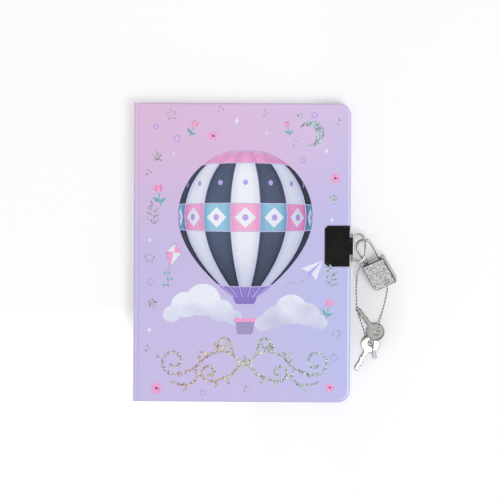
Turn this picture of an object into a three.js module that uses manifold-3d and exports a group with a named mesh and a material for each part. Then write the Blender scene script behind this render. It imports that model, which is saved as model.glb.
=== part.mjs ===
// A child's locking diary, closed and locked: a padded hard cover, seven sections of leaves, a chromed clip and
// ring on the fore edge of each cover, a small padlock on the front ring, and two flat keys on a metallic cord.
// Millimetres. The origin is the centre of the back cover's outer face, +X points to the fore edge, +Y to the
// head of the pages and +Z out of the front cover.
import * as THREE from "three";
import { mergeVertices } from "three/addons/utils/BufferGeometryUtils.js";
import Module from "manifold-3d";

const wasm = await Module();
wasm.setup();

// Case: two padded covers and a spine panel
const coverWidth = 145;
const coverHeight = 200;
const coverCorner = 8;
const spineCorner = 1;
const wrapThickness = 0.35;
const foamThickness = 1;
const boardThickness = 1.6;
const endpaperThickness = 0.25;
const glueGap = 0.1;
const turnIn = 14;
const padRound = 1.4;
const creaseWidth = 2.4;
const creaseRound = 0.8;
const creaseSink = 0.25;
const spineBoardThickness = 1.4;

// Block of leaves
const sectionCount = 7;
const sectionThickness = 1;
const sectionGap = 0.2;
const foldThickness = 0.3;
const foldTaper = 4;
const flyleafThickness = 0.2;
const flyleafInset = 4;
const leafGap = 0.15;
const square = 3.5;
const leafCorner = 6;
const liningThickness = 0.4;
const liningGap = 0.25;

// Clips and rings
const clipThickness = 0.5;
const clipLength = 17.3;
const clipHeight = 27.4;
const clipY = 4.55;
const clipChamfer = 2;
const clipBend = 0.5;
const jawBend = 0.25;
const jawLength = 10;
const tongueHeight = 11.7;
const tongueSlit = 3.4;
const ringWire = 1.6;
const ringBarGap = 0.1;
const ringArmSpacing = 15.5;
const ringWidth = 18.4;
const ringReach = 8.4;
const ringBend = 0.85;
const ringSlip = 1;
const barrelStandoff = 1.6;

// Padlock
const lockWidth = 16;
const lockHeight = 20;
const lockBodyDepth = 6.6;
const lockCorner = 1.2;
const platePocketGap = 0.1;
const plateThickness = 0.6;
const plateInset = 0.3;
const shackleWire = 2;
const shackleSpan = 10.4;
const shackleRise = 17.5;
const shackleBoreGap = 0.15;
const longLegDepth = 11.5;
const shortLegDepth = 3.4;
const springLength = 4.6;
const springWire = 0.35;
const springTurns = 5;
const notchDepth = 0.5;
const notchHeight = 1.4;
const notchDrop = 2.2;
const latchThickness = 0.35;
const latchWidth = 1.8;
const latchGap = 0.2;
const plugRadius = 2.1;
const plugLength = 6;
const plugGap = 0.15;
const plugLip = 0.4;
const keywayWidth = 1;
const keywayHeight = 3;
const keywayDepth = 4;
const camLength = 1.4;
const camWidth = 1;

// Where the padlock lies beside the fore edge, leaning on the table with its shackle up in the ring
const lockOut = 19.7;
const lockY = -12.9;
const lockYaw = 31;
const lockTilt = 20;
const lockRoll = -17;
const tableGap = 0.1;

// Keys
const keyThickness = 0.8;
const keyBow = 12.3;
const keyHole = 4;
const keyHoleOffset = 0.7;
const keyLength = 26.6;
const keyNeck = 3;
const keyShaft = 2.4;
const keyBulge = 3.4;

// Where the keys lie: bow centre out from the fore edge, direction of the shaft, and the bow raised on what is under it
const keyOne = { out: 17.4, y: -53, turn: 128.3, bowLift: 2.75 };
const keyTwo = { out: 14, y: -60.9, turn: 241.6, bowLift: 0.95 };

// Cord: a metallic thread in one loop round the shackle and through both keys, knotted beside the second key's hole
const cordDiameter = 0.7;
const cordGap = 0.15;
const cordSteps = 78;
const knotRadius = 0.85;
const tailDiameter = 1.2;

// Worked out from the sizes above
const degrees = Math.PI / 180;
const halfWidth = coverWidth / 2;
const halfHeight = coverHeight / 2;
const panelLeft = -halfWidth + creaseWidth;
const foamDepth = wrapThickness + glueGap;
const boardDepth = foamDepth + foamThickness + glueGap;
const lipDepth = boardDepth + boardThickness + glueGap;
const endpaperDepth = lipDepth + wrapThickness + glueGap;
const coverThickness = endpaperDepth + endpaperThickness;
const sectionPitch = sectionThickness + sectionGap;
const leavesThickness = sectionCount * sectionPitch + sectionGap;
const blockThickness = leavesThickness + 2 * (flyleafThickness + leafGap);
const thickness = 2 * coverThickness + blockThickness;
const spineInner = -halfWidth + wrapThickness + glueGap + spineBoardThickness;
const liningLeft = spineInner + wrapThickness;
const foldX = liningLeft + liningThickness + liningGap;
const leafRight = halfWidth - square;
const leafHalf = halfHeight - square;
const hingeX = -halfWidth + creaseRound;
const clipRecess = clipThickness + 2 * glueGap;
const clipLeft = halfWidth - clipLength;
const jawTop = lipDepth + glueGap;
const jawLeft = halfWidth - jawLength;
const barrelInner = ringWire / 2 + ringBarGap;
const barrelOuter = barrelInner + clipThickness;
const barrelX = halfWidth + barrelStandoff;
const barrelDepth = glueGap + barrelOuter;

// Looks of the real surfaces
const printed = { color: 0xcfbce6, roughness: 0.45, metalness: 0 };
const paper = { color: 0xf6f3ea, roughness: 0.9, metalness: 0 };
const lilacPaper = { color: 0xe3d4f2, roughness: 0.85, metalness: 0 };
const grey = { color: 0x9b9388, roughness: 0.95, metalness: 0 };
const foam = { color: 0xf4f1ec, roughness: 1, metalness: 0 };
const chrome = { color: 0xd9dbdd, roughness: 0.12, metalness: 1 };
const glitter = { color: 0xc4c5c8, roughness: 0.5, metalness: 0.9 };
const steel = { color: 0xa9abae, roughness: 0.35, metalness: 1 };
const thread = { color: 0xb9bbc0, roughness: 0.4, metalness: 0.7 };

const diary = new THREE.Group();

function piece(name, geometry, look, group = diary) {
  const mesh = new THREE.Mesh(geometry, new THREE.MeshStandardMaterial(look));
  mesh.name = name;
  group.add(mesh);
  return mesh;
}

// A closed geometry as a solid that can be joined and cut
function solid(geometry) {
  const bare = new THREE.BufferGeometry();
  const flat = geometry.index ? geometry.toNonIndexed() : geometry;
  bare.setAttribute("position", flat.getAttribute("position"));
  const merged = mergeVertices(bare, 1e-4);
  return new wasm.Manifold(
    new wasm.Mesh({
      numProp: 3,
      vertProperties: new Float32Array(merged.attributes.position.array),
      triVerts: new Uint32Array(merged.index.array),
    }),
  );
}

function surface(made) {
  const mesh = made.getMesh();
  const geometry = new THREE.BufferGeometry();
  geometry.setAttribute("position", new THREE.BufferAttribute(mesh.vertProperties, 3));
  geometry.setIndex(new THREE.BufferAttribute(mesh.triVerts, 1));
  const loose = geometry.toNonIndexed();
  loose.computeVertexNormals();
  return loose;
}

const cut = (body, ...tools) => surface(tools.reduce((left, tool) => left.subtract(solid(tool)), solid(body)));
const join = (first, ...rest) => surface(rest.reduce((whole, next) => whole.add(solid(next)), solid(first)));
const common = (a, b) => surface(solid(a).intersect(solid(b)));

function box(x0, x1, y0, y1, z0, z1) {
  const geometry = new THREE.BoxGeometry(x1 - x0, y1 - y0, z1 - z0);
  return geometry.translate((x0 + x1) / 2, (y0 + y1) / 2, (z0 + z1) / 2);
}

// A rectangle with one corner radius on its left side and one on its right, drawn in by an inset
function outline({ left, right, half, leftRadius, rightRadius }, inset = 0, steps = 7) {
  const corners = [
    [right, -half, rightRadius, -90],
    [right, half, rightRadius, 0],
    [left, half, leftRadius, 90],
    [left, -half, leftRadius, 180],
  ];
  return corners.flatMap(([x, y, radius, start]) => {
    const reach = Math.max(radius, inset + 0.05);
    const cx = x - (x === right ? reach : -reach);
    const cy = y - Math.sign(y) * reach;
    return Array.from({ length: steps + 1 }, (_, i) => {
      const a = (start + (90 * i) / steps) * degrees;
      return [cx + (reach - inset) * Math.cos(a), cy + (reach - inset) * Math.sin(a)];
    });
  });
}

// A closed solid through like outlines, from the lowest up
function loft(levels) {
  const count = levels[0].points.length;
  const vertices = levels.flatMap(({ points, z }) => points.map(([x, y]) => [x, y, z]));
  const faces = [];
  for (let level = 0; level + 1 < levels.length; level++)
    for (let i = 0; i < count; i++) {
      const a = level * count + i;
      const b = level * count + ((i + 1) % count);
      faces.push([a, b, b + count], [a, b + count, a + count]);
    }
  const flat = levels[0].points.map(([x, y]) => new THREE.Vector2(x, y));
  const top = (levels.length - 1) * count;
  for (const [a, b, c] of THREE.ShapeUtils.triangulateShape(flat, []))
    faces.push([c, b, a], [a + top, b + top, c + top]);
  const geometry = new THREE.BufferGeometry();
  geometry.setAttribute("position", new THREE.Float32BufferAttribute(vertices.flat(), 3));
  geometry.setIndex(faces.flat());
  return geometry;
}

const slab = (panel, z0, z1, inset = 0) =>
  loft([
    { points: outline(panel, inset), z: z0 },
    { points: outline(panel, inset), z: z1 },
  ]);

// A slab whose upper edge is rounded, with its top at height z1
function paddedSlab(panel, z0, z1, round, inset, lowerRound) {
  const steps = 4;
  const levels = [
    { points: outline(panel, inset + lowerRound), z: z0 },
    { points: outline(panel, inset), z: z0 + Math.max(lowerRound, 0.05) },
  ];
  for (let i = 0; i <= steps; i++) {
    const a = (90 * i * degrees) / steps;
    levels.push({
      points: outline(panel, inset + round * (1 - Math.cos(a))),
      z: z1 - round + round * Math.sin(a),
    });
  }
  return loft(levels);
}

// A profile drawn across X and Z, run along Y
function alongY(shape, y0, y1, segments = 6) {
  const geometry = new THREE.ExtrudeGeometry(shape, {
    depth: y1 - y0,
    bevelEnabled: false,
    curveSegments: segments,
  });
  return geometry.rotateX(Math.PI / 2).translate(0, y1, 0);
}

// An open curve through points, sampled evenly between them
class Route extends THREE.CatmullRomCurve3 {
  constructor(points, closed) {
    super(
      points.map((point) => new THREE.Vector3(...point)),
      closed,
      "centripetal",
    );
  }
  getPointAt(t) {
    return this.getPoint(t);
  }
  getTangentAt(t) {
    return this.getTangent(t);
  }
}

const loopWire = (points, diameter, perPoint, sides) =>
  new THREE.TubeGeometry(new Route(points, true), points.length * perPoint, diameter / 2, sides, true);

function wire(path, diameter, steps, sides = 8) {
  const section = new THREE.Shape();
  for (let i = 0; i < sides; i++) {
    const a = ((i + 0.5) * 2 * Math.PI) / sides;
    const point = [(diameter / 2) * Math.cos(a), (diameter / 2) * Math.sin(a)];
    if (i) section.lineTo(...point);
    else section.moveTo(...point);
  }
  section.closePath();
  return new THREE.ExtrudeGeometry(section, { steps, extrudePath: path, bevelEnabled: false });
}

// Each cover is built outer face up with that face at z = 0, then laid on the block.
const coverPanel = {
  left: panelLeft,
  right: halfWidth,
  half: halfHeight,
  leftRadius: spineCorner,
  rightRadius: coverCorner,
};

function makeCover(side, centreY, group) {
  const clipFrom = centreY - clipHeight / 2 - glueGap;
  const clipTo = centreY + clipHeight / 2 + glueGap;
  const past = halfWidth + 1;
  // The clip's plate lies in a recess that its crimping pressed into the padding.
  const recess = (spread) =>
    box(clipLeft - glueGap - spread, past, clipFrom - spread, clipTo + spread, -clipRecess - spread, 1);
  const jawRecess = (depth) => box(jawLeft - glueGap, past, clipFrom, clipTo, -coverThickness - 1, -depth);

  const lipBottom = lipDepth + wrapThickness;
  const skin = solid(paddedSlab(coverPanel, -lipBottom, 0, padRound, 0, wrapThickness)).subtract(solid(recess(0)));
  const hollow = solid(
    paddedSlab(coverPanel, -lipDepth, -wrapThickness, padRound - wrapThickness, wrapThickness, 0),
  ).subtract(solid(recess(wrapThickness)));
  const window = box(
    panelLeft + wrapThickness + glueGap,
    halfWidth - turnIn,
    turnIn - halfHeight,
    halfHeight - turnIn,
    -lipBottom - 1,
    -lipDepth + glueGap / 2,
  );
  const wrap = skin.subtract(hollow).subtract(solid(window)).subtract(solid(jawRecess(lipDepth)));
  piece(side + "_wrap", surface(wrap), printed, group);

  const pad = paddedSlab(
    coverPanel,
    -foamDepth - foamThickness,
    -foamDepth,
    Math.min(foamThickness, padRound) - glueGap,
    wrapThickness + glueGap,
    0,
  );
  piece(side + "_foam", cut(pad, recess(wrapThickness + glueGap)), foam, group);
  piece(
    side + "_board",
    slab(coverPanel, -boardDepth - boardThickness, -boardDepth, wrapThickness + glueGap),
    grey,
    group,
  );
  const sheet = slab(coverPanel, -coverThickness, -endpaperDepth, square - 1);
  piece(side + "_endpaper", cut(sheet, jawRecess(endpaperDepth - glueGap)), lilacPaper, group);
}

// The clip: one strip of sheet metal, folded over the cover's edge beside a tongue that rolls round the ring's bar
function makeClip(side, centreY, group) {
  const plateBottom = -glueGap - clipThickness;
  const jawBottom = -jawTop - clipThickness;
  const webInner = halfWidth + glueGap;
  const webOuter = webInner + clipThickness;
  const topOuter = clipBend + clipThickness;
  const lowOuter = jawBend + clipThickness;
  const root = halfWidth - 3;
  const fold = new THREE.Shape();
  fold.moveTo(root, -glueGap);
  fold.lineTo(webOuter - topOuter, -glueGap);
  fold.absarc(webOuter - topOuter, -glueGap - topOuter, topOuter, Math.PI / 2, 0, true);
  fold.absarc(webOuter - lowOuter, jawBottom + lowOuter, lowOuter, 0, -Math.PI / 2, true);
  fold.lineTo(root, jawBottom);
  fold.lineTo(root, -jawTop);
  fold.absarc(webInner - jawBend, -jawTop + jawBend, jawBend, -Math.PI / 2, 0, false);
  fold.absarc(webInner - clipBend, plateBottom - clipBend, clipBend, 0, Math.PI / 2, false);
  fold.lineTo(root, plateBottom);
  fold.closePath();

  const curlEnd = -170 * degrees;
  const tongue = new THREE.Shape();
  tongue.moveTo(root, -glueGap);
  tongue.lineTo(barrelX, -glueGap);
  tongue.absarc(barrelX, -barrelDepth, barrelOuter, Math.PI / 2, curlEnd, true);
  tongue.absarc(barrelX, -barrelDepth, barrelInner, curlEnd, Math.PI / 2, false);
  tongue.lineTo(root, plateBottom);
  tongue.closePath();

  const low = centreY - clipHeight / 2;
  const high = centreY + clipHeight / 2;
  const plate = new THREE.Shape();
  plate.moveTo(root + 1, low);
  plate.lineTo(root + 1, high);
  plate.lineTo(clipLeft + clipChamfer, high);
  plate.lineTo(clipLeft, high - clipChamfer);
  plate.lineTo(clipLeft, low + clipChamfer);
  plate.lineTo(clipLeft + clipChamfer, low);
  plate.closePath();
  const flat = new THREE.ExtrudeGeometry(plate, { depth: clipThickness, bevelEnabled: false });
  flat.translate(0, 0, plateBottom);

  const foldWidth = (clipHeight - tongueHeight) / 2 - tongueSlit;
  const clip = join(
    flat,
    box(jawLeft, root + 1, low, high, jawBottom, -jawTop),
    alongY(fold, low, low + foldWidth, 4),
    alongY(fold, high - foldWidth, high, 4),
    alongY(tongue, centreY - tongueHeight / 2, centreY + tongueHeight / 2, 14),
  );
  piece(side + "_clip", clip, chrome, group);
}

// A D of round wire, bar at the origin along Y, loop towards +X
function ringGeometry() {
  const arm = ringArmSpacing / 2;
  const wide = ringWidth / 2;
  const upper = [
    [0, arm / 3],
    [0, (arm * 2) / 3],
    [0, arm - ringBend],
    [ringBend * 0.3, arm - ringBend * 0.28],
    [ringBend, arm + 0.02],
    [ringReach * 0.27, arm + (wide - arm) * 0.55],
    [ringReach * 0.45, wide * 0.995],
    [ringReach * 0.62, wide * 0.96],
    [ringReach * 0.79, wide * 0.83],
    [ringReach * 0.92, wide * 0.62],
    [ringReach * 0.985, wide * 0.36],
  ];
  const lower = upper.map(([x, y]) => [x, -y]).reverse();
  const points = [...upper, [ringReach, 0], ...lower].map(([x, y]) => [x, y, 0]);
  return loopWire(points, ringWire, 2, 10);
}

const frontCover = new THREE.Group();
frontCover.position.z = thickness;
const backCover = new THREE.Group();
backCover.rotation.x = Math.PI;
diary.add(frontCover, backCover);
makeCover("front", clipY, frontCover);
makeClip("front", clipY, frontCover);
makeCover("back", -clipY, backCover);
makeClip("back", -clipY, backCover);

// The front ring lies out flat on the shackle; the back ring stands up against the fore edge below it.
const frontRing = piece("front_ring", ringGeometry(), chrome);
frontRing.position.set(barrelX, clipY - ringSlip, thickness - barrelDepth);
const backRing = piece("back_ring", ringGeometry(), chrome);
backRing.position.set(barrelX, clipY - ringSlip, barrelDepth);
backRing.rotation.y = -Math.PI / 2;

// Spine panel: a strip of board in the same wrap
const spineLow = creaseWidth;
const spineHigh = thickness - creaseWidth;
const spineRight = spineInner + wrapThickness - glueGap;
const spineCase = box(-halfWidth, spineRight, -halfHeight, halfHeight, spineLow, spineHigh);
const spineHollow = box(
  -halfWidth + wrapThickness,
  spineRight + 1,
  -halfHeight + wrapThickness,
  halfHeight - wrapThickness,
  spineLow - 1,
  spineHigh + 1,
);
piece("spine_wrap", cut(spineCase, spineHollow), printed);
piece(
  "spine_board",
  box(
    -halfWidth + wrapThickness + glueGap,
    spineInner,
    -halfHeight + wrapThickness + glueGap,
    halfHeight - wrapThickness - glueGap,
    spineLow,
    spineHigh,
  ),
  grey,
);

// The creases: the stretch of wrap between spine and cover, bent round the edge
function creaseShape() {
  const inner = creaseRound - wrapThickness;
  const centreX = -halfWidth + creaseRound;
  const centreZ = -creaseSink - creaseRound;
  const shape = new THREE.Shape();
  shape.moveTo(panelLeft - glueGap, -creaseSink);
  shape.lineTo(centreX, -creaseSink);
  shape.absarc(centreX, centreZ, creaseRound, Math.PI / 2, Math.PI, false);
  shape.lineTo(-halfWidth, -creaseWidth + glueGap);
  shape.lineTo(-halfWidth + wrapThickness, -creaseWidth + glueGap);
  shape.absarc(centreX, centreZ, inner, Math.PI, Math.PI / 2, true);
  shape.lineTo(panelLeft - glueGap, -creaseSink - wrapThickness);
  shape.closePath();
  return shape;
}
for (const [name, group] of [
  ["front_crease", frontCover],
  ["back_crease", backCover],
])
  piece(name, alongY(creaseShape(), -halfHeight, halfHeight, 5), printed, group);

// Block: sections that thin towards their folds, a flyleaf on each side, and a cloth lining on the back
const leafPanel = {
  left: foldX,
  right: leafRight,
  half: leafHalf,
  leftRadius: 0.3,
  rightRadius: leafCorner,
};

function sectionGeometry() {
  const half = sectionThickness / 2;
  const profile = new THREE.Shape();
  profile.moveTo(foldX, -foldThickness / 2);
  profile.lineTo(foldX + foldTaper, -half);
  profile.lineTo(leafRight, -half);
  profile.lineTo(leafRight, half);
  profile.lineTo(foldX + foldTaper, half);
  profile.lineTo(foldX, foldThickness / 2);
  profile.closePath();
  return common(alongY(profile, -leafHalf, leafHalf), slab(leafPanel, -sectionThickness, sectionThickness));
}

const firstLeaf = coverThickness + leafGap;
for (let i = 0; i < sectionCount; i++) {
  const section = piece("section_" + (i + 1), sectionGeometry(), paper);
  section.position.z = firstLeaf + flyleafThickness + sectionGap + sectionThickness / 2 + i * sectionPitch;
}
const flyleafPanel = { ...leafPanel, left: foldX + flyleafInset };
piece("back_flyleaf", slab(flyleafPanel, firstLeaf, firstLeaf + flyleafThickness), lilacPaper);
const lastLeaf = thickness - firstLeaf;
piece("front_flyleaf", slab(flyleafPanel, lastLeaf - flyleafThickness, lastLeaf), lilacPaper);
piece(
  "spine_lining",
  box(liningLeft, liningLeft + liningThickness, -leafHalf, leafHalf, firstLeaf, lastLeaf),
  paper,
);

// Padlock, in its own frame: X across, Y along the shackle, Z out of the front plate
const padlock = new THREE.Group();
const lockDepth = lockBodyDepth + 2 * (platePocketGap + plateThickness);
padlock.rotation.set(lockTilt * degrees, lockRoll * degrees, lockYaw * degrees, "ZXY");
const lowestCorner = Math.min(
  ...[-1, 1].flatMap((x) =>
    [-1, 1].flatMap((y) =>
      [-1, 1].map(
        (z) =>
          new THREE.Vector3((x * lockWidth) / 2, (y * lockHeight) / 2, (z * lockDepth) / 2).applyEuler(padlock.rotation)
            .z,
      ),
    ),
  ),
);
padlock.position.set(halfWidth + lockOut, lockY, tableGap - lowestCorner);
diary.add(padlock);

const lockPanel = {
  left: -lockWidth / 2,
  right: lockWidth / 2,
  half: lockHeight / 2,
  leftRadius: lockCorner,
  rightRadius: lockCorner,
};
const lockTop = lockHeight / 2;
const boreRadius = shackleWire / 2 + shackleBoreGap;
const legX = shackleSpan / 2;
const longLegEnd = lockTop - longLegDepth;
const springSeat = longLegEnd - springLength;
const shortLegEnd = lockTop - shortLegDepth;
const plugBore = plugRadius + plugGap;
const plugTop = -lockTop + plugLength;
const camTop = plugTop + camLength;

function upright(radius, x, y0, y1, sides = 20) {
  const rod = new THREE.CylinderGeometry(radius, radius, y1 - y0, sides);
  return rod.translate(x, (y0 + y1) / 2, 0);
}

const notchY = lockTop - notchDrop;
const latchTip = -legX + shackleWire / 2 - notchDepth + latchGap;
const slotHalf = latchWidth / 2 + latchGap;
const latchSlot = join(
  box(-legX, camWidth, notchY - 1.3, notchY + 0.9, -slotHalf, slotHalf),
  box(-camWidth, camWidth, camTop - 1, notchY + 0.9, -slotHalf, slotHalf),
);
piece(
  "padlock_body",
  cut(
    slab(lockPanel, -lockBodyDepth / 2, lockBodyDepth / 2),
    upright(boreRadius, legX, springSeat, lockTop + 1),
    upright(boreRadius, -legX, shortLegEnd - shackleBoreGap * 2, lockTop + 1),
    upright(plugBore, 0, -lockTop - 1, camTop + plugGap, 24),
    latchSlot,
  ),
  steel,
  padlock,
);

function lockPlate(side) {
  const low = lockBodyDepth / 2 + platePocketGap;
  const inset = plateInset;
  const plate = loft([
    { points: outline(lockPanel, inset), z: low },
    { points: outline(lockPanel, inset), z: low + plateThickness - 0.25 },
    { points: outline(lockPanel, inset + 0.1), z: low + plateThickness - 0.1 },
    { points: outline(lockPanel, inset + 0.3), z: low + plateThickness },
  ]);
  return side > 0 ? plate : plate.rotateY(Math.PI);
}
piece("padlock_front_plate", lockPlate(1), glitter, padlock);
piece("padlock_back_plate", lockPlate(-1), glitter, padlock);

// Shackle: both legs in one bent wire, with the latch's notch in the short leg
const archY = lockTop + shackleRise - shackleWire / 2 - legX;
class ShackleCurve extends THREE.Curve {
  getPoint(t) {
    const longLeg = archY - longLegEnd;
    const shortLeg = archY - shortLegEnd;
    const bend = Math.PI * legX;
    const along = t * (longLeg + bend + shortLeg);
    if (along < shortLeg) return new THREE.Vector3(-legX, shortLegEnd + along, 0);
    if (along > shortLeg + bend) return new THREE.Vector3(legX, archY - (along - shortLeg - bend), 0);
    const a = Math.PI - (along - shortLeg) / legX;
    return new THREE.Vector3(legX * Math.cos(a), archY + legX * Math.sin(a), 0);
  }
}
const notch = box(
  -legX + shackleWire / 2 - notchDepth,
  0,
  notchY - notchHeight / 2,
  notchY + notchHeight / 2,
  -shackleWire,
  shackleWire,
);
piece("shackle", cut(wire(new ShackleCurve(), shackleWire, 40, 12), notch), chrome, padlock);

// The spring under the long leg, its ends wound flat
class SpringCurve extends THREE.Curve {
  getPoint(t) {
    const turn = t * springTurns * 2 * Math.PI;
    const r = shackleWire / 2 - springWire / 2;
    const rest = springWire / 2 + glueGap;
    const rise = springLength - 2 * rest;
    const eased = Math.min(1, Math.max(0, (t - 0.1) / 0.8));
    return new THREE.Vector3(legX + r * Math.cos(turn), springSeat + rest + rise * eased, r * Math.sin(turn));
  }
}
piece("shackle_spring", wire(new SpringCurve(), springWire, springTurns * 10, 5), steel, padlock);

// The leaf latch: a bent strip whose tip sits in the shackle's notch and whose foot stands on the plug's cam
const leafFoot = camTop + plugGap + latchGap;
const leaf = new THREE.Shape();
leaf.moveTo(0, leafFoot);
leaf.lineTo(latchThickness, leafFoot);
leaf.lineTo(latchThickness, notchY - 0.3);
leaf.lineTo(-legX * 0.4, notchY + 0.15);
leaf.lineTo(latchTip, notchY + 0.15);
leaf.lineTo(latchTip, notchY - latchThickness);
leaf.lineTo(-legX * 0.45, notchY - latchThickness);
leaf.lineTo(0, notchY - 1);
leaf.closePath();
const leafGeometry = new THREE.ExtrudeGeometry(leaf, { depth: latchWidth, bevelEnabled: false });
piece("latch_leaf", leafGeometry.translate(0, 0, -latchWidth / 2), steel, padlock);

// The key plug: a drum with the keyway in its outer end and a cam on its inner end
const plugBottom = -lockTop - plugLip;
piece(
  "key_plug",
  cut(
    join(
      upright(plugRadius, 0, plugBottom, plugTop, 24),
      box(-camWidth / 2, plugRadius * 0.8, plugTop - 0.2, camTop, -camWidth / 2, camWidth / 2),
    ),
    box(-keywayWidth / 2, keywayWidth / 2, plugBottom - 1, plugBottom + keywayDepth, -keywayHeight / 2, keywayHeight / 2),
  ),
  steel,
  padlock,
);

// Keys: flat stampings, a round bow with an off-centre hole and a shaft with a waved bit
function keyGeometry() {
  const bow = keyBow / 2;
  const neck = Math.asin(keyNeck / 2 / bow);
  const tip = keyLength - bow;
  const shaft = keyShaft / 2;
  const bulge = keyBulge / 2;
  const shape = new THREE.Shape();
  shape.absarc(0, 0, bow, neck, 2 * Math.PI - neck, false);
  shape.quadraticCurveTo(bow + 1.5, -shaft, bow + 3, -shaft);
  shape.quadraticCurveTo(bow + 4.5, -bulge, bow + 6.5, -shaft);
  shape.lineTo(tip - 4.5, -shaft);
  shape.quadraticCurveTo(tip - 3, -bulge, tip - 1.2, -shaft);
  shape.quadraticCurveTo(tip, -shaft * 0.8, tip, 0);
  shape.quadraticCurveTo(tip, shaft * 0.9, tip - 1, shaft);
  shape.lineTo(tip - 2.6, shaft * 0.35);
  shape.lineTo(tip - 4.4, shaft);
  shape.quadraticCurveTo(tip - 6, bulge, tip - 7.5, shaft * 0.8);
  shape.quadraticCurveTo(bow + 3, shaft, bow * Math.cos(neck), keyNeck / 2);
  const hole = new THREE.Path();
  hole.absarc(-keyHoleOffset, 0, keyHole / 2, 0, 2 * Math.PI, true);
  shape.holes.push(hole);
  const rim = 0.12;
  const geometry = new THREE.ExtrudeGeometry(shape, {
    depth: keyThickness - 2 * rim,
    bevelEnabled: true,
    bevelSize: rim,
    bevelThickness: rim,
    bevelOffset: -rim,
    bevelSegments: 1,
    curveSegments: 10,
  });
  return geometry.translate(0, 0, rim);
}
function layKey(name, { out, y, turn, bowLift }) {
  const key = piece(name, keyGeometry(), chrome);
  const tilt = Math.asin((bowLift - tableGap) / (keyLength - keyBow / 2));
  key.position.set(halfWidth + out, y, bowLift);
  key.rotation.set(0, tilt, turn * degrees, "ZYX");
  return key;
}
layKey("key_1", keyOne);
layKey("key_2", keyTwo);

// The cord's loop, from the shackle's short leg down the left to the keys and back under the padlock to the leg
const cordRadius = cordDiameter / 2;
const onTable = tableGap + cordRadius;
const legRound = shackleWire / 2 + cordRadius + cordGap;
padlock.updateMatrix();
const atLock = (x, y, z) => new THREE.Vector3(x, y, z).applyMatrix4(padlock.matrix).toArray();
const roundLeg = (angle, y) =>
  atLock(-legX + legRound * Math.cos(angle * degrees), y, legRound * Math.sin(angle * degrees));
const underBows = keyTwo.bowLift + keyThickness + cordGap + cordRadius;
const overBow = keyOne.bowLift + keyThickness + cordGap + cordRadius;
const overTip = tableGap + keyThickness + cordGap + cordRadius;
const beside = (out, y, z) => [halfWidth + out, y, z];
const cordRoute = [
  roundLeg(-40, lockTop + 0.9),
  roundLeg(10, lockTop + 1.1),
  roundLeg(60, lockTop + 1.3),
  roundLeg(110, lockTop + 1.3),
  roundLeg(155, lockTop + 1.1),
  atLock(-lockWidth / 2 - 0.5, lockTop + 0.2, 0.6),
  beside(5.4, -12, 7.5),
  beside(4.9, -16.2, 3),
  beside(4.6, -20.8, 0.8),
  beside(4.5, -25, onTable),
  beside(4.6, -30, onTable),
  beside(4.8, -34, onTable + 0.1),
  beside(5.1, -37, overTip + 0.15),
  beside(5.6, -39.6, overTip + 0.45),
  beside(6.3, -42.6, onTable + 0.45),
  beside(7.7, -46, onTable),
  beside(9.1, -50, onTable),
  beside(10.1, -53.6, onTable),
  beside(11.1, -56.4, onTable),
  beside(12.4, -58.9, onTable),
  beside(13.6, -60.4, onTable + 0.15),
  beside(14.4, -60.9, keyTwo.bowLift + 0.4),
  beside(14.9, -60.2, underBows),
  beside(16.1, -57.6, underBows + 0.25),
  beside(17.1, -55.3, underBows + 0.25),
  beside(17.7, -54.2, underBows + 0.7),
  beside(18.1, -53.3, overBow - 0.4),
  beside(18.5, -52.2, overBow),
  beside(19.1, -49.8, overBow - 0.2),
  beside(19.8, -47.2, overBow - 0.55),
  beside(20.7, -43.8, 2.3),
  beside(21.7, -40.4, 0.9),
  beside(22.8, -36.6, onTable),
  beside(23.9, -32.4, onTable),
  beside(24.8, -28, onTable),
  beside(25.4, -24, onTable),
  beside(24.8, -20.8, onTable),
  beside(22.3, -17, onTable),
  beside(18, -13.2, 0.8),
  beside(14.5, -10.2, 2.8),
  beside(12.3, -8.2, 5.2),
  atLock(-4.2, lockTop + 0.3, -lockDepth / 2 - 0.8),
  roundLeg(-60, lockTop + 0.7),
];
piece("key_cord", wire(new Route(cordRoute, false), cordDiameter, cordSteps), thread);

// The knot on the second key's bow and the two frayed ends of the cord beyond it
const knot = new THREE.IcosahedronGeometry(knotRadius, 1);
knot.scale(1, 1.2, 0.8).rotateZ(15 * degrees);
knot.translate(...beside(15.5, -63.1, keyTwo.bowLift + keyThickness + 0.85 * knotRadius + cordGap));
const tailTop = keyTwo.bowLift + keyThickness + tailDiameter / 2 + cordGap;
const tail = wire(
  new Route(
    [
      beside(15.5, -63.1, tailTop),
      beside(16, -65.1, tailTop),
      beside(16.5, -67.1, tailTop - 0.1),
      beside(17, -69, 1.4),
      beside(17.3, -71.4, tableGap + tailDiameter / 2),
    ],
    false,
  ),
  tailDiameter,
  10,
  8,
);
piece("cord_knot", join(knot, tail), thread);

export default diary;
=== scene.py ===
import math
import random
import bmesh
import bpy
from mathutils import Matrix, Vector


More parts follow.
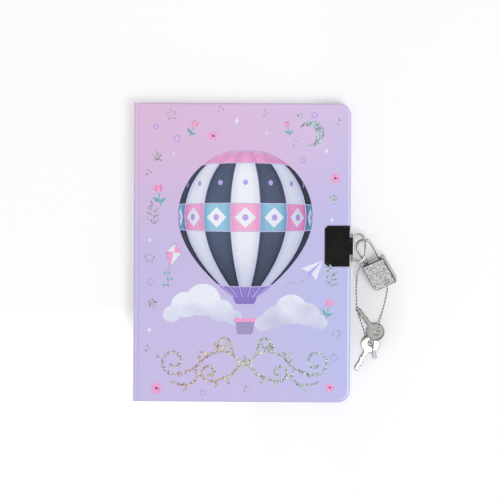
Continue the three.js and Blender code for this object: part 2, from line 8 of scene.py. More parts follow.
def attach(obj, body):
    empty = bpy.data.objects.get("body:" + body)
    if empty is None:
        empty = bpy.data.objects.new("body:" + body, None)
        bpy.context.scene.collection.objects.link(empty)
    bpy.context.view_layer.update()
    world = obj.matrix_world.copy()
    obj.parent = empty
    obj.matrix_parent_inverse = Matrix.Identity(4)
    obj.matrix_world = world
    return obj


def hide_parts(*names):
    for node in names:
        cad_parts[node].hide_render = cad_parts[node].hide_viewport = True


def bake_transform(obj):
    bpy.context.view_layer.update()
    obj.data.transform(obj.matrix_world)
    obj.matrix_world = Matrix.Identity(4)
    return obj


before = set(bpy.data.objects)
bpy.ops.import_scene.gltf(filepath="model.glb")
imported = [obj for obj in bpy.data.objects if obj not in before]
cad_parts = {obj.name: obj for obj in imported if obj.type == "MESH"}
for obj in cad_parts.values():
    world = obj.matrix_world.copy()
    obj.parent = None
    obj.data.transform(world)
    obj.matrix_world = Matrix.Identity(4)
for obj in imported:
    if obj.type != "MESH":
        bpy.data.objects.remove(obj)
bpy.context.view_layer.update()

# Camera
# The photograph looks straight down on the closed diary through a long lens. Its frame is 500 x 500 pixels and
# takes in 334.5 mm at the height of the cover.
view_centre = (5.2, 1.7)
view_width = 334.5
cover_face = 17.2
camera_rise = 2400
camera_turn = 0.3
camera = bpy.data.objects.new("camera", bpy.data.cameras.new("camera"))
bpy.context.scene.collection.objects.link(camera)
camera.data.sensor_width = 36
camera.data.lens = 36 * camera_rise / view_width
camera.data.clip_end = 20
camera.location = (view_centre[0] / 1000, view_centre[1] / 1000, (camera_rise + cover_face) / 1000)
camera.rotation_euler = (0, 0, math.radians(camera_turn))
bpy.context.scene.camera = camera


# Key cord
# A thin metallic thread of two plies, one bright foil and one dark, twisted together. It makes one loop round the
# shackle's short leg and through the holes of both keys, and its ends are knotted beside the second key's hole.
class Value:
    """A socket of a material that takes part in sums."""

    def __init__(self, socket):
        self.socket = socket

    def maths(self, operation, first, *others):
        node = self.socket.id_data.nodes.new("ShaderNodeMath")
        node.operation = operation
        for place, value in zip(node.inputs, (first, *others)):
            plug_in(place, value)
        return Value(node.outputs[0])

    def __add__(self, other):
        return self.maths("ADD", self, other)

    def __sub__(self, other):
        return self.maths("SUBTRACT", self, other)

    def __rsub__(self, other):
        return self.maths("SUBTRACT", other, self)

    def __mul__(self, other):
        return self.maths("MULTIPLY", self, other)

    def __truediv__(self, other):
        return self.maths("DIVIDE", self, other)

    def __pow__(self, other):
        return self.maths("POWER", self, other)

    def __mod__(self, other):
        return self.maths("FLOORED_MODULO", self, other)

    def __gt__(self, other):
        return self.maths("GREATER_THAN", self, other)

    def __lt__(self, other):
        return self.maths("LESS_THAN", self, other)

    def __abs__(self):
        return self.maths("ABSOLUTE", self)

    __radd__ = __add__
    __rmul__ = __mul__

    def smallest(self, other):
        return self.maths("MINIMUM", self, other)

    def largest(self, other):
        return self.maths("MAXIMUM", self, other)

    def sine(self):
        return self.maths("SINE", self)

    def rising(self, low, high):
        """0 below low, 1 above high, and a soft step between."""
        share = ((self - low) / (high - low)).smallest(1).largest(0)
        return share * share * (3 - 2 * share)


def plug_in(place, value):
    if isinstance(value, Value):
        place.id_data.links.new(value.socket, place)
    else:
        place.default_value = value


def colour(red, green, blue):
    """A colour as it is read off a screen, made linear for the shader."""
    shares = [c / 255 for c in (red, green, blue)]
    linear = [c / 12.92 if c <= 0.04 else ((c + 0.055) / 1.055) ** 2.4 for c in shares]
    return (*linear, 1.0)


class Finish:
    """A procedural material. Its patterns are drawn in millimetres on the object's own coordinates."""

    def __init__(self, name, **constants):
        self.material = bpy.data.materials.new(name)
        self.material.use_nodes = True
        self.shader = self.material.node_tree.nodes["Principled BSDF"]
        self.feed(**constants)
        metres = self.node("ShaderNodeTexCoord", out="Object")
        self.place = self.vectors("SCALE", metres, Scale=1000)

    def node(self, kind, settings=None, sockets=None, out=0):
        made = self.material.node_tree.nodes.new(kind)
        for name, value in (settings or {}).items():
            if name == "stops":
                for _ in range(len(value) - len(made.color_ramp.elements)):
                    made.color_ramp.elements.new(0.5)
                for element, (position, shade) in zip(made.color_ramp.elements, value):
                    element.position = position
                    element.color = shade
            else:
                setattr(made, name, value)
        for name, value in (sockets or {}).items():
            plug_in(made.inputs[name], value)
        return Value(made.outputs[out])

    def feed(self, **sockets):
        for name, value in sockets.items():
            plug_in(self.shader.inputs[name.replace("_", " ")], value)

    def vectors(self, operation, first, second=None, **sockets):
        """A sum on places, directions or colours."""
        given = {0: first, **sockets} if second is None else {0: first, 1: second, **sockets}
        return self.node("ShaderNodeVectorMath", {"operation": operation}, given)

    def stretched(self, *scales):
        """The object's coordinates with each axis scaled by itself, for a pattern that runs one way."""
        return self.vectors("MULTIPLY", self.place, scales)

    def axes(self, place=None):
        """The three numbers of a place."""
        split = self.node("ShaderNodeSeparateXYZ", sockets={0: place or self.place})
        return [Value(output) for output in split.socket.node.outputs]

    def noise(self, scale, detail=2, place=None, roughness=0.5):
        sockets = {"Vector": place or self.place, "Scale": scale, "Detail": detail, "Roughness": roughness}
        return self.node("ShaderNodeTexNoise", sockets=sockets)

    def cells(self, scale, out=1):
        """Irregular cells, each with a random colour, or with out=0 the distance from its middle."""
        return self.node("ShaderNodeTexVoronoi", sockets={"Vector": self.place, "Scale": scale}, out=out)

    def mix(self, share, first, second):
        """A colour between two, by a share."""
        return self.node("ShaderNodeMix", {"data_type": "RGBA"}, {0: share, 6: first, 7: second}, out=2)

    def bump(self, height, depth):
        """Bends the surface's light by a height from 0 to 1 over a depth in millimetres."""
        sockets = {"Height": height, "Distance": depth / 1000, "Strength": 1}
        self.feed(Normal=self.node("ShaderNodeBump", sockets=sockets))

    def mottled(self, pattern, first, second):
        """Colours the surface by a pattern, from one colour to another."""
        self.feed(Base_Color=self.mix(pattern, first, second))


def smooth_line(points, per_span, closed=False):
    """Points of a smooth curve that passes through all the given ones."""
    points = [Vector(point) for point in points]
    if closed:
        padded = [points[-1], *points, points[0], points[1]]
    else:
        padded = [points[0] * 2 - points[1], *points, points[-1] * 2 - points[-2]]
    line = []
    for before, start, end, after in zip(padded, padded[1:], padded[2:], padded[3:]):
        knots = [0.0]
        for a, b in ((before, start), (start, end), (end, after)):
            knots.append(knots[-1] + math.sqrt((b - a).length))
        for step in range(per_span):
            t = knots[1] + (knots[2] - knots[1]) * step / per_span
            low = before.lerp(start, t / knots[1])
            middle = start.lerp(end, (t - knots[1]) / (knots[2] - knots[1]))
            high = end.lerp(after, (t - knots[2]) / (knots[3] - knots[2]))
            first = low.lerp(middle, t / knots[2])
            second = middle.lerp(high, (t - knots[1]) / (knots[3] - knots[1]))
            line.append(first.lerp(second, (t - knots[1]) / (knots[2] - knots[1])))
    return line if closed else [*line, points[-1]]


def even_line(line, spacing):
    """The same line with its points a fixed distance apart."""
    even = [line[0]]
    left = spacing
    for start, end in zip(line, line[1:]):
        span = (end - start).length
        along = left
        while along <= span:
            even.append(start.lerp(end, along / span))
            along += spacing
        left = along - span
    return even


def twisted(line, offset, pitch, start_angle):
    """A ply that winds round a line."""
    ply = []
    side = Vector((0.3, 0.2, 1))
    walked = 0
    for i, point in enumerate(line):
        ahead = (line[min(i + 1, len(line) - 1)] - line[max(i - 1, 0)]).normalized()
        side = (side - ahead * side.dot(ahead)).normalized()
        other = ahead.cross(side)
        angle = start_angle + 2 * math.pi * walked / pitch
        ply.append(point + offset * (side * math.cos(angle) + other * math.sin(angle)))
        if i + 1 < len(line):
            walked += (line[i + 1] - point).length
    return ply


def tube_mesh(lines, diameter, sides=8, closed=False):
    """Round wire along lines of points."""
    curve = bpy.data.curves.new("line", "CURVE")
    curve.dimensions = "3D"
    curve.bevel_depth = diameter / 2
    curve.bevel_resolution = sides // 2 - 2
    curve.use_fill_caps = not closed
    for line in lines:
        spline = curve.splines.new("POLY")
        spline.points.add(len(line) - 1)
        for place, point in zip(spline.points, line):
            place.co = (*point, 1)
        spline.use_cyclic_u = closed
    holder = bpy.data.objects.new("line", curve)
    mesh = bpy.data.meshes.new_from_object(holder)
    bpy.data.objects.remove(holder)
    bpy.data.curves.remove(curve)
    shape = bmesh.new()
    shape.from_mesh(mesh)
    bpy.data.meshes.remove(mesh)
    bmesh.ops.remove_doubles(shape, verts=shape.verts, dist=1e-5)
    bmesh.ops.recalc_face_normals(shape, faces=shape.faces)
    return shape


def as_piece(name, shape, finishes, body, replaces=(), sharp=40):
    """A mesh drawn in millimetres, as a piece in its place that moves with a body."""
    bmesh.ops.scale(shape, vec=(0.001, 0.001, 0.001), verts=shape.verts)
    mesh = bpy.data.meshes.new(name)
    shape.to_mesh(mesh)
    shape.free()
    for finish in finishes:
        mesh.materials.append(finish.material)
    mesh.shade_smooth()
    mesh.set_sharp_from_angle(angle=math.radians(sharp))
    made = bpy.data.objects.new(name, mesh)
    bpy.context.scene.collection.objects.link(made)
    if body:
        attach(made, body)
    if replaces:
        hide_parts(*replaces)
    return made


def keep_flat(made):
    """Lets a flat face shade flat beside its rounded edges."""
    level = made.modifiers.new("flat faces stay flat", "WEIGHTED_NORMAL")
    level.keep_sharp = True


def join_shapes(shapes):
    """Several meshes as one, each with its own number for its finish."""
    whole = bmesh.new()
    for number, shape in enumerate(shapes):
        for face in shape.faces:
            face.material_index = number
        loose = bpy.data.meshes.new("loose")
        shape.to_mesh(loose)
        shape.free()
        whole.from_mesh(loose)
        bpy.data.meshes.remove(loose)
    return whole


lock_place = (
    Matrix.Translation((92.2, -12.9, 9.3126))
    @ Matrix.Rotation(math.radians(31), 4, "Z")
    @ Matrix.Rotation(math.radians(20), 4, "X")
    @ Matrix.Rotation(math.radians(-17), 4, "Y")
)
leg_x = 5.2
cord_twist = 2.3
round_leg = 1.5


def beside_leg(angle, y):
    around = math.radians(angle)
    return lock_place @ Vector((round_leg * math.cos(around) - leg_x, y, round_leg * math.sin(around)))


cord_route = [
    beside_leg(-40, 10.9),
    beside_leg(10, 11.1),
    beside_leg(60, 11.3),
    beside_leg(110, 11.3),
    beside_leg(155, 11.1),
    lock_place @ Vector((-8.5, 10.2, 0.6)),
    (77.9, -12, 7.5),
    (77.4, -16.2, 3),
    (77.1, -20.8, 0.8),
    (77, -25, 0.45),
    (77.1, -30, 0.45),
    (77.3, -34, 0.55),
    (77.6, -37, 1.55),
    (78.1, -39.6, 1.85),
    (78.8, -42.6, 0.9),
    (80.2, -46, 0.45),
    (81.6, -50, 0.45),
    (82.6, -53.6, 0.45),
    (83.6, -56.4, 0.45),
    (84.9, -58.9, 0.45),
    (86.1, -60.4, 0.6),
    (86.9, -60.9, 1.35),
    (87.4, -60.2, 2.25),
    (88.6, -57.6, 2.5),
    (89.6, -55.3, 2.5),
    (90.2, -54.2, 2.95),
    (90.6, -53.3, 3.65),
    (91, -52.2, 4.05),
    (91.6, -49.8, 3.85),
    (92.3, -47.2, 3.5),
    (93.2, -43.8, 2.3),
    (94.2, -40.4, 0.9),
    (95.3, -36.6, 0.45),
    (96.4, -32.4, 0.45),
    (97.3, -28, 0.45),
    (97.9, -24, 0.45),
    (97.3, -20.8, 0.45),
    (94.8, -17, 0.45),
    (90.5, -13.2, 0.8),
    (87, -10.2, 2.8),
    (84.8, -8.2, 5.2),
    lock_place @ Vector((-4.2, 10.3, -4.8)),
    beside_leg(-60, 10.7),
]
cord_line = even_line(smooth_line(cord_route, 12), 0.13)

bright_foil = Finish("bright foil thread", Metallic=0.15, Roughness=0.35)
foil_specks = bright_foil.noise(3.2, 1)
bright_foil.mottled(foil_specks.rising(0.4, 0.6), colour(222, 225, 234), colour(252, 252, 255))
dark_ply = Finish("dark thread", Roughness=0.7, Specular_IOR_Level=0.2)
ply_specks = dark_ply.noise(4, 2)
dark_ply.mottled(ply_specks.rising(0.35, 0.65), colour(10, 10, 16), colour(44, 46, 58))
ply_offset = 0.12
ply_diameter = 0.62
cord_plies = [
    tube_mesh([twisted(cord_line, ply_offset, cord_twist, start)], ply_diameter, 6) for start in (0, math.pi)
]
key_cord = as_piece(
    "key_cord_thread", join_shapes(cord_plies), [bright_foil, dark_ply], "shackle",
    ["key_cord"], 60,
)

# Cord's knot
# The thread's two ends are tied in one small overhand knot on the second key's bow. They fray beyond it into loose
# bright and dark strands.
knot_centre = Vector((88, -63.1, 2.62))
knot_loops = []
for i in range(60):
    t = 2 * math.pi * i / 60
    swing = 2 + math.cos(3 * t)
    in_knot = (swing * math.cos(2 * t) * 0.27, swing * math.sin(2 * t) * 0.33, math.sin(3 * t) * 0.38)
    knot_loops.append(knot_centre + Vector(in_knot))
knot_wound = even_line([*knot_loops, knot_loops[0]], 0.1)
fray = random.Random(4)
strands = []
for i in range(44):
    spread = fray.uniform(-1, 1)
    reach = fray.uniform(0.55, 1.0)
    lift = fray.uniform(-0.25, 0.35)
    bend = fray.uniform(-0.35, 0.35)
    strand = [
        knot_centre,
        (88.45 + 0.6 * spread, -64.9, 2.5 + lift),
        (88.9 + 0.8 * spread + bend, -66.9, 2.45 + lift),
        (89.3 + 0.95 * spread - bend * 0.5, -66.9 - 2.6 * reach, 1.5 + lift * 0.9),
        (89.6 + 1.4 * spread, -66.9 - 4.3 * reach, 0.75 + abs(lift) * 0.8),
    ]
    strands.append(smooth_line(strand, 6))
dark_strands = strands[::4]
bright_strands = [strand for i, strand in enumerate(strands) if i % 4]
strand_diameter = 0.34
knot_shapes = [
    tube_mesh([twisted(knot_wound, ply_offset, cord_twist, start), *loose], strand_diameter, 6)
    for start, loose in ((0, bright_strands), (math.pi, dark_strands))
]
knot = as_piece(
    "knot_and_frayed_ends", join_shapes(knot_shapes), [bright_foil, dark_ply], "shackle",
    ["cord_knot"], 60,
)
[n / 1000 for n in cord_line[0]]
sum((b - a).length for a, b in zip(cord_line, cord_line[1:])) / 1000
[[n / 1000 for n in point] for point in cord_line]

# Keys
# Two flat stampings of nickelled steel with a round bow, an off-centre hole and a waved bit. Their rims are eased by
# the die, and their faces carry fine rolling lines. Their edges are painted darker as shade, the second key's much
# darker than the first's.
nickel = Finish("nickelled steel", Metallic=1.0)
rolling = nickel.noise(1, 3, nickel.stretched(9, 1.2, 9))
nickel_cloud = nickel.noise(0.35, 3)
nickel.mottled(nickel_cloud.rising(0.3, 0.7), colour(214, 212, 205), colour(228, 227, 222))
nickel.feed(Roughness=0.1 + 0.08 * rolling)
nickel.bump(rolling, 0.004)
# Two copies of one edge finish with shade painted into their colour: dark for the second key's edges and the lock's
# plate rims, milder for the first key's edges.
dark_painted_edge = Finish("steel edge with dark painted shade", Metallic=0.9, Roughness=0.45)
dark_painted_edge.mottled(dark_painted_edge.noise(2.5, 3), colour(26, 27, 31), colour(58, 58, 62))
milder_painted_edge = Finish("steel edge with milder painted shade", Metallic=0.9, Roughness=0.45)
milder_painted_edge.mottled(milder_painted_edge.noise(2.5, 3), colour(146, 146, 145), colour(184, 183, 180))


def bent(start, control, end, steps=6):
    """Points of a curve from start towards control and on to end."""
    start, control, end = Vector(start), Vector(control), Vector(end)
    shares = [i / steps for i in range(1, steps + 1)]
    return [start.lerp(control, t).lerp(control.lerp(end, t), t) for t in shares]


def moved_out(shape, made, move):
    """Moves the new points that an extrusion made, and returns its new edges."""
    bmesh.ops.translate(shape, vec=move, verts=[v for v in made if isinstance(v, bmesh.types.BMVert)])
    return [e for e in made if isinstance(e, bmesh.types.BMEdge)]


def filled_shape(outlines, thickness):
    """A flat plate from closed outlines, the first its rim and any others its holes."""
    shape = bmesh.new()
    for outline in outlines:
        corners = [shape.verts.new((*point[:2], 0)) for point in outline]
        for a, b in zip(corners, corners[1:] + corners[:1]):
            shape.edges.new((a, b))
    bmesh.ops.triangle_fill(shape, edges=shape.edges, use_beauty=True)
    raised = bmesh.ops.extrude_face_region(shape, geom=shape.faces[:], use_keep_orig=True)["geom"]
    moved_out(shape, raised, (0, 0, thickness))
    bmesh.ops.recalc_face_normals(shape, faces=shape.faces)
    return shape


def rounded(shape, geom, radius, segments, affect="EDGES", clamp_overlap=False):
    bmesh.ops.bevel(
        shape, geom=geom, offset=radius, segments=segments, profile=0.5, affect=affect, material=-1,
        clamp_overlap=clamp_overlap,
    )


def eased(shape, width, segments=2, angle=40):
    """Rounds every edge that is sharper than an angle."""
    sharp = [e for e in shape.edges if len(e.link_faces) == 2 and e.calc_face_angle() > math.radians(angle)]
    rounded(shape, sharp, width, segments, clamp_overlap=True)
    return shape


def set_at(points, cx, cy, turn=0):
    """Points drawn about the origin, turned and moved to their place."""
    cos, sin = math.cos(math.radians(turn)), math.sin(math.radians(turn))
    return [(cx + x * cos - y * sin, cy + x * sin + y * cos) for x, y in points]


def ring_of(cx, cy, rx, ry=None, turn=0, count=28):
    """A circle or an ellipse."""
    angles = [2 * math.pi * i / count for i in range(count)]
    return set_at([(rx * math.cos(a), (ry or rx) * math.sin(a)) for a in angles], cx, cy, turn)


key_thickness = 0.8
bow = 6.15
neck_half = 1.5
neck = math.asin(neck_half / bow)
neck_x = bow * math.cos(neck)
key_tip = 20.45
shaft = 1.45
bulge = 2.2
rim_width = 0.32
rim_drop = 0.2
bow_angles = [neck + (2 * math.pi - 2 * neck) * i / 48 for i in range(49)]
key_rim = [(bow * math.cos(a), bow * math.sin(a)) for a in bow_angles]
key_rim += bent((neck_x, -neck_half), (bow + 1.5, -shaft), (bow + 3, -shaft))
key_rim += bent((bow + 3, -shaft), (bow + 4.5, -bulge), (bow + 6.5, -shaft))
key_rim += bent((key_tip - 4.5, -shaft), (key_tip - 3, -bulge), (key_tip - 1.2, -shaft))
key_rim += bent((key_tip - 1.2, -shaft), (key_tip, -shaft * 0.8), (key_tip, 0))
key_rim += bent((key_tip, 0), (key_tip, shaft * 0.9), (key_tip - 1, shaft))
key_rim += [(key_tip - 2.6, shaft * 0.35), (key_tip - 4.4, shaft)]
key_rim += bent((key_tip - 4.4, shaft), (key_tip - 6, bulge), (key_tip - 7.5, shaft * 0.8))
key_rim += bent((key_tip - 7.5, shaft * 0.8), (bow + 3, shaft), (neck_x, neck_half))[:-1]
key_hole = ring_of(-0.7, 0, 2, count=32)
for number, x, y, turn, lift, edge in (
    (1, 89.9, -53, 128.3, 2.75, milder_painted_edge), (2, 86.5, -60.9, 241.6, 0.95, dark_painted_edge),
):
    key = filled_shape([key_rim, key_hole], key_thickness)
    for side in (1, -1):
        flat = [face for face in key.faces if face.normal.z * side > 0.9]
        worn = bmesh.ops.inset_region(key, faces=flat, thickness=rim_width, use_even_offset=True)["faces"]
        inner = {vert for face in flat for vert in face.verts}
        outer = {vert for face in worn for vert in face.verts} - inner
        bmesh.ops.translate(key, vec=(0, 0, -side * rim_drop), verts=list(outer))
    key.normal_update()
    for face in key.faces:
        face.material_index = 0 if abs(face.normal.z) > 0.99 else 1
    laid = (
        Matrix.Translation((x, y, lift))
        @ Matrix.Rotation(math.radians(turn), 4, "Z")
        @ Matrix.Rotation(math.asin((lift - 0.1) / key_tip), 4, "Y")
    )
    bmesh.ops.transform(key, matrix=laid, verts=key.verts)
    stamping = as_piece(
        f"flat_key_{number}", key, [nickel, edge], f"key_{number}", [f"key_{number}"]
    )
    keep_flat(stamping)

# Covers
# Each cover is greyboard under a thin sheet of foam, wrapped in paper with a matte film. The wrap is glued over
# the edges and turned in on the inner face, and the foam rounds its outer edges. The clip's plate is pressed in.
spine_edge = -72.5
panel_left = -70.1
fore_edge = 72.5
cover_half = 100
corner_round = 8
pad_round = 1.4
lip_bottom = 3.6
turn_in = 14
clip_left = 55.2
clip_y = 4.55
clip_half = 13.7
jaw_left = 62.5
plate_bed = 0.72
jaw_bed = 3.28
both_sides = (("front", cover_face, 1), ("back", 0, -1))


def rounded_slab(left, right, half, left_radius, right_radius, low, high, steps=8):
    """A flat board with rounded corners, the same two on its left and the same two on its right."""
    shape = bmesh.new()
    bmesh.ops.create_grid(shape, x_segments=1, y_segments=1, size=1)
    bmesh.ops.scale(shape, vec=((right - left) / 2, half, 1), verts=shape.verts)
    bmesh.ops.translate(shape, vec=((left + right) / 2, 0, low), verts=shape.verts)
    for side, radius in ((left, left_radius), (right, right_radius)):
        corners = [v for v in shape.verts if abs(v.co.x - side) < 1e-5]
        rounded(shape, corners, radius, steps, "VERTICES")
    raised = bmesh.ops.extrude_face_region(shape, geom=shape.faces[:], use_keep_orig=True)["geom"]
    moved_out(shape, raised, (0, 0, high - low))
    bmesh.ops.recalc_face_normals(shape, faces=shape.faces)
    return shape


def rim_edges(shape, height):
    """The edges round a slab's face at a height."""
    return [
        e for e in shape.edges
        if all(abs(v.co.z - height) < 1e-4 for v in e.verts) and e.calc_face_angle() > 1
    ]


def cut_across(shape, x=None, y=None):
    """Adds a line of points across a shape."""
    point = (x or 0, y or 0, 0)
    normal = (1, 0, 0) if y is None else (0, 1, 0)
    everything = [*shape.verts, *shape.edges, *shape.faces]
    bmesh.ops.bisect_plane(shape, geom=everything, dist=1e-5, plane_co=point, plane_no=normal)


def cover_tint(finish):
    """Rose at the head of the spine side, lilac below it, periwinkle at the fore edge, and a painted highlight: a
    pale line along the rounded fore edge.
    """
    x, y, _ = finish.axes()
    wash = finish.noise(0.018, 2)
    rose = (y * 0.75 - x * 0.12 + 18 * (wash - 0.5)).rising(-8, 84)
    blue = (x * 0.8 - abs(y + 40) * 0.4 + 14 * (wash - 0.5)).rising(-22, 62)
    pale = (y + x * 0.7).rising(40, 150)
    tint = finish.mix(rose, colour(198, 188, 230), colour(223, 188, 222))
    tint = finish.mix(pale * 0.75, tint, colour(213, 195, 234))
    tint = finish.mix(blue * 0.9, tint, colour(183, 191, 236))
    # A painted highlight: a pale line along the rounded fore edge and round its corners, stronger towards the foot.
    past_x = (x - (fore_edge - corner_round)).largest(0)
    past_y = (abs(y) - (cover_half - corner_round)).largest(0)
    reach = (past_x * past_x + past_y * past_y) ** 0.5
    highlight_reach = corner_round - pad_round
    painted_edge_highlight = (1 - abs(reach - highlight_reach).rising(0.2, 0.65)) * (past_x / highlight_reach) * (1 - 0.5 * y.rising(-60, 60))
    return finish.mix(painted_edge_highlight.smallest(1) * 0.8, tint, colour(230, 233, 248))


def under_film(name):
    """A finish for print under the matte film, with the film's faint unevenness."""
    finish = Finish(name, Roughness=0.42, Specular_IOR_Level=0.4)
    finish.bump(finish.noise(3.5, 3) * 0.15 + finish.noise(0.09, 2), 0.05)
    return finish


film = under_film("matte film on print")
film.feed(Base_Color=cover_tint(film))


def wrapped_cover(face, outward):
    """The wrap of one cover, drawn from its outer face at height face, with its thickness going inward."""
    low, high = sorted((face, face - outward * lip_bottom))
    shape = rounded_slab(panel_left, fore_edge, cover_half, 1.5, corner_round, low, high, 10)
    rounded(shape, rim_edges(shape, face), pad_round, 7)
    paper_left, paper_right, paper_end = panel_left + turn_in, fore_edge - turn_in, cover_half - turn_in
    for x in (paper_left, paper_right):
        cut_across(shape, x=x)
    for y in (-paper_end, paper_end):
        cut_across(shape, y=y)
    uncovered = []
    for f in shape.faces:
        middle = f.calc_center_median()
        inside = paper_left < middle.x < paper_right and abs(middle.y) < paper_end
        if inside and abs(middle.z - (face - outward * lip_bottom)) < 1e-3:
            uncovered.append(f)
    bmesh.ops.delete(shape, geom=uncovered, context="FACES_ONLY")
    for x in (clip_left - 0.45, clip_left - 0.1, jaw_left - 0.1, jaw_left + 0.2):
        cut_across(shape, x=x)
    for spread in (0.1, 0.45):
        cut_across(shape, y=clip_y - clip_half - spread)
        cut_across(shape, y=clip_y + clip_half + spread)
    for v in shape.verts:
        beside = abs(v.co.y - clip_y) < clip_half + 0.15
        depth = (face - v.co.z) * outward
        if beside and v.co.x > clip_left - 0.15 and depth < plate_bed:
            v.co.z = face - outward * plate_bed
        if beside and v.co.x > jaw_left + 0.15 and depth > jaw_bed + 0.02:
            v.co.z = face - outward * jaw_bed
    return shape


def thickened(made, name, thickness, offset=-1):
    """Gives a sheet its thickness in millimetres, inwards, or on both sides with an offset of 0."""
    sheet = made.modifiers.new(name, "SOLIDIFY")
    sheet.thickness = thickness / 1000
    sheet.offset = offset


for side, face, outward in both_sides:
    wrap = as_piece(
        f"{side}_printed_wrap", wrapped_cover(face, outward), [film], f"{side}_cover",
        [f"{side}_wrap"],
    )
    thickened(wrap, "paper", 0.35)
    keep_flat(wrap)

# Printed picture
# The front is printed with a balloon over two clouds, a kite, a paper plane and small blossoms and sparkles, in flat
# and airbrushed inks. A few parts are stamped over it in holographic glitter foil, and so is the scroll below.
balloon_x = 2
balloon_y = 24
balloon_half = 45
balloon_drop = 54
mouth_half = 8
seam_step = 180 / 7
seams = [-90 + seam_step * i for i in range(8)]
gores = list(enumerate(zip(seams, seams[1:])))
top = balloon_y + balloon_half
bottom = balloon_y - balloon_drop
cap_low = top - 9
band_low, band_high = 14, 33
skirt_high = bottom + 7
first_lift = 0.006
layer_lift = 0.011
stacking = 0.0025


def star_of(cx, cy, long, short, points, turn=90):
    """A star with straight sides."""
    corners = []
    for i in range(2 * points):
        a = math.radians(turn) + math.pi * i / points
        reach = short if i % 2 else long
        corners.append((cx + reach * math.cos(a), cy + reach * math.sin(a)))
    return corners


def sparkle_of(cx, cy, long, wide=None):
    """A four-pointed sparkle with hollow sides."""
    wide = wide or long * 0.66
    tips = [(cx, cy + long), (cx + wide, cy), (cx, cy - long), (cx - wide, cy)]
    outline = []
    for start, end in zip(tips, tips[1:] + tips[:1]):
        outline.append(start)
        outline += [tuple(p[:2]) for p in bent((*start, 0), (cx, cy, 0), (*end, 0), 6)[:-1]]
    return outline


def leaf_of(x, y, length, width, turn):
    """A pointed leaf from its stalk end."""
    lean = math.radians(turn)
    along = Vector((math.cos(lean), math.sin(lean)))
    aside = Vector((-along.y, along.x))
    outline = []
    for hand, steps in ((1, range(10)), (-1, range(10, 0, -1))):
        for i in steps:
            t = i / 10
            out = hand * width * math.sin(math.pi * t ** 0.8) / 2
            outline.append(tuple(Vector((x, y)) + along * length * t + aside * out))
    return outline


def cloud_of(puffs):
    """The outline round a row of puffs, from lists of centre and radius."""
    low = min(x - r for x, y, r in puffs)
    high = max(x + r for x, y, r in puffs)
    steps = [low + (high - low) * (1 - math.cos(math.pi * i / 60)) / 2 for i in range(61)]
    over, under = [], []
    for x in steps:
        near = [puff for puff in puffs if abs(x - puff[0]) <= puff[2] + 1e-6]
        reached = [(y, math.sqrt(max(0, r * r - (x - cx) ** 2))) for cx, y, r in near]
        over.append((x, max(y + h for y, h in reached)))
        under.append((x, min(y - h * 0.8 for y, h in reached)))
    return over + under[-2:0:-1]


def moon_of(cx, cy, radius, turn):
    """A crescent between an outer arc and a smaller one set off to its side."""
    outer = [math.radians(48 + 264 * i / 36) for i in range(37)]
    inner = [math.radians(284 - 208 * i / 28) for i in range(1, 28)]
    outline = [(radius * math.cos(a), radius * math.sin(a)) for a in outer]
    outline += [(radius * (0.42 + 0.77 * math.cos(a)), radius * 0.77 * math.sin(a)) for a in inner]
    return set_at(outline, cx, cy, turn)


def gore_point(turn, height):
    """A point of the balloon's skin, by how far round it is from the middle and its height."""
    share = (height - balloon_y) / (balloon_half if height > balloon_y else balloon_drop)
    fall = 1 - 0.14 * (1 - math.cos(math.radians(turn))) * (1 - share * share)
    y = balloon_y + (height - balloon_y) * fall
    if y > balloon_y:
        half = math.sqrt(max(0, balloon_half ** 2 - (y - balloon_y) ** 2))
    else:
        half = mouth_half + (balloon_half - mouth_half) * (1 - ((balloon_y - y) / balloon_drop) ** 1.9)
    return (balloon_x + half * math.sin(math.radians(turn)), y)


def patch_of(first, second, low, high, steps=12):
    """A piece of the balloon's skin between two seams and two heights."""
    up = [low + (high - low) * i / steps for i in range(steps + 1)]
    across = [first + (second - first) * i / 6 for i in range(1, 6)]
    outline = [gore_point(first, h) for h in up]
    outline += [gore_point(t, high) for t in across]
    outline += [gore_point(second, h) for h in reversed(up)]
    outline += [gore_point(t, low) for t in reversed(across)]
    tidy = [outline[0]]
    for point in outline[1:]:
        if (Vector(point) - Vector(tidy[-1])).length > 0.02:
            tidy.append(point)
    if (Vector(tidy[0]) - Vector(tidy[-1])).length < 0.02:
        tidy.pop()
    return tidy


def stroke(points, width, closed=False, spread=5):
    """A drawn line, as a low rounded ridge."""
    flat = [(x, y, 0) for x, y in points]
    line = smooth_line(flat, spread, closed) if spread > 1 else [Vector(p) for p in flat]
    shape = tube_mesh([line], width, 8, closed)
    bmesh.ops.scale(shape, vec=(1, 1, 0.1), verts=shape.verts)
    return shape


def flat_ink(outline, depth=0.03):
    """An area of ink or foil with its top at height 0."""
    shape = filled_shape([outline], depth)
    bmesh.ops.translate(shape, vec=(0, 0, -depth), verts=shape.verts)
    return shape


def printed(name, shapes, finish, layer):
    """Prints shapes on the front cover in one ink or foil, each a hair higher than its neighbours."""
    for number, shape in enumerate(shapes):
        bmesh.ops.translate(shape, vec=(0, 0, number % 4 * stacking), verts=shape.verts)
    whole = join_shapes(shapes)
    for face in whole.faces:
        face.material_index = 0
    lift = first_lift + layer_lift * layer
    bmesh.ops.translate(whole, vec=(0, 0, cover_face + lift), verts=whole.verts)
    return as_piece(name, whole, [finish], "front_cover", sharp=30)


def curl(cx, cy, radius, first, turns, tip=0.25, steps=30):
    """A spiral that starts on its outside, at an angle in degrees, and winds in."""
    line = []
    for i in range(steps + 1):
        t = i / steps
        a = math.radians(first + 360 * turns * t)
        r = radius * (1 - (1 - tip) * t)
        line.append((cx + r * math.cos(a), cy + r * math.sin(a)))
    return line


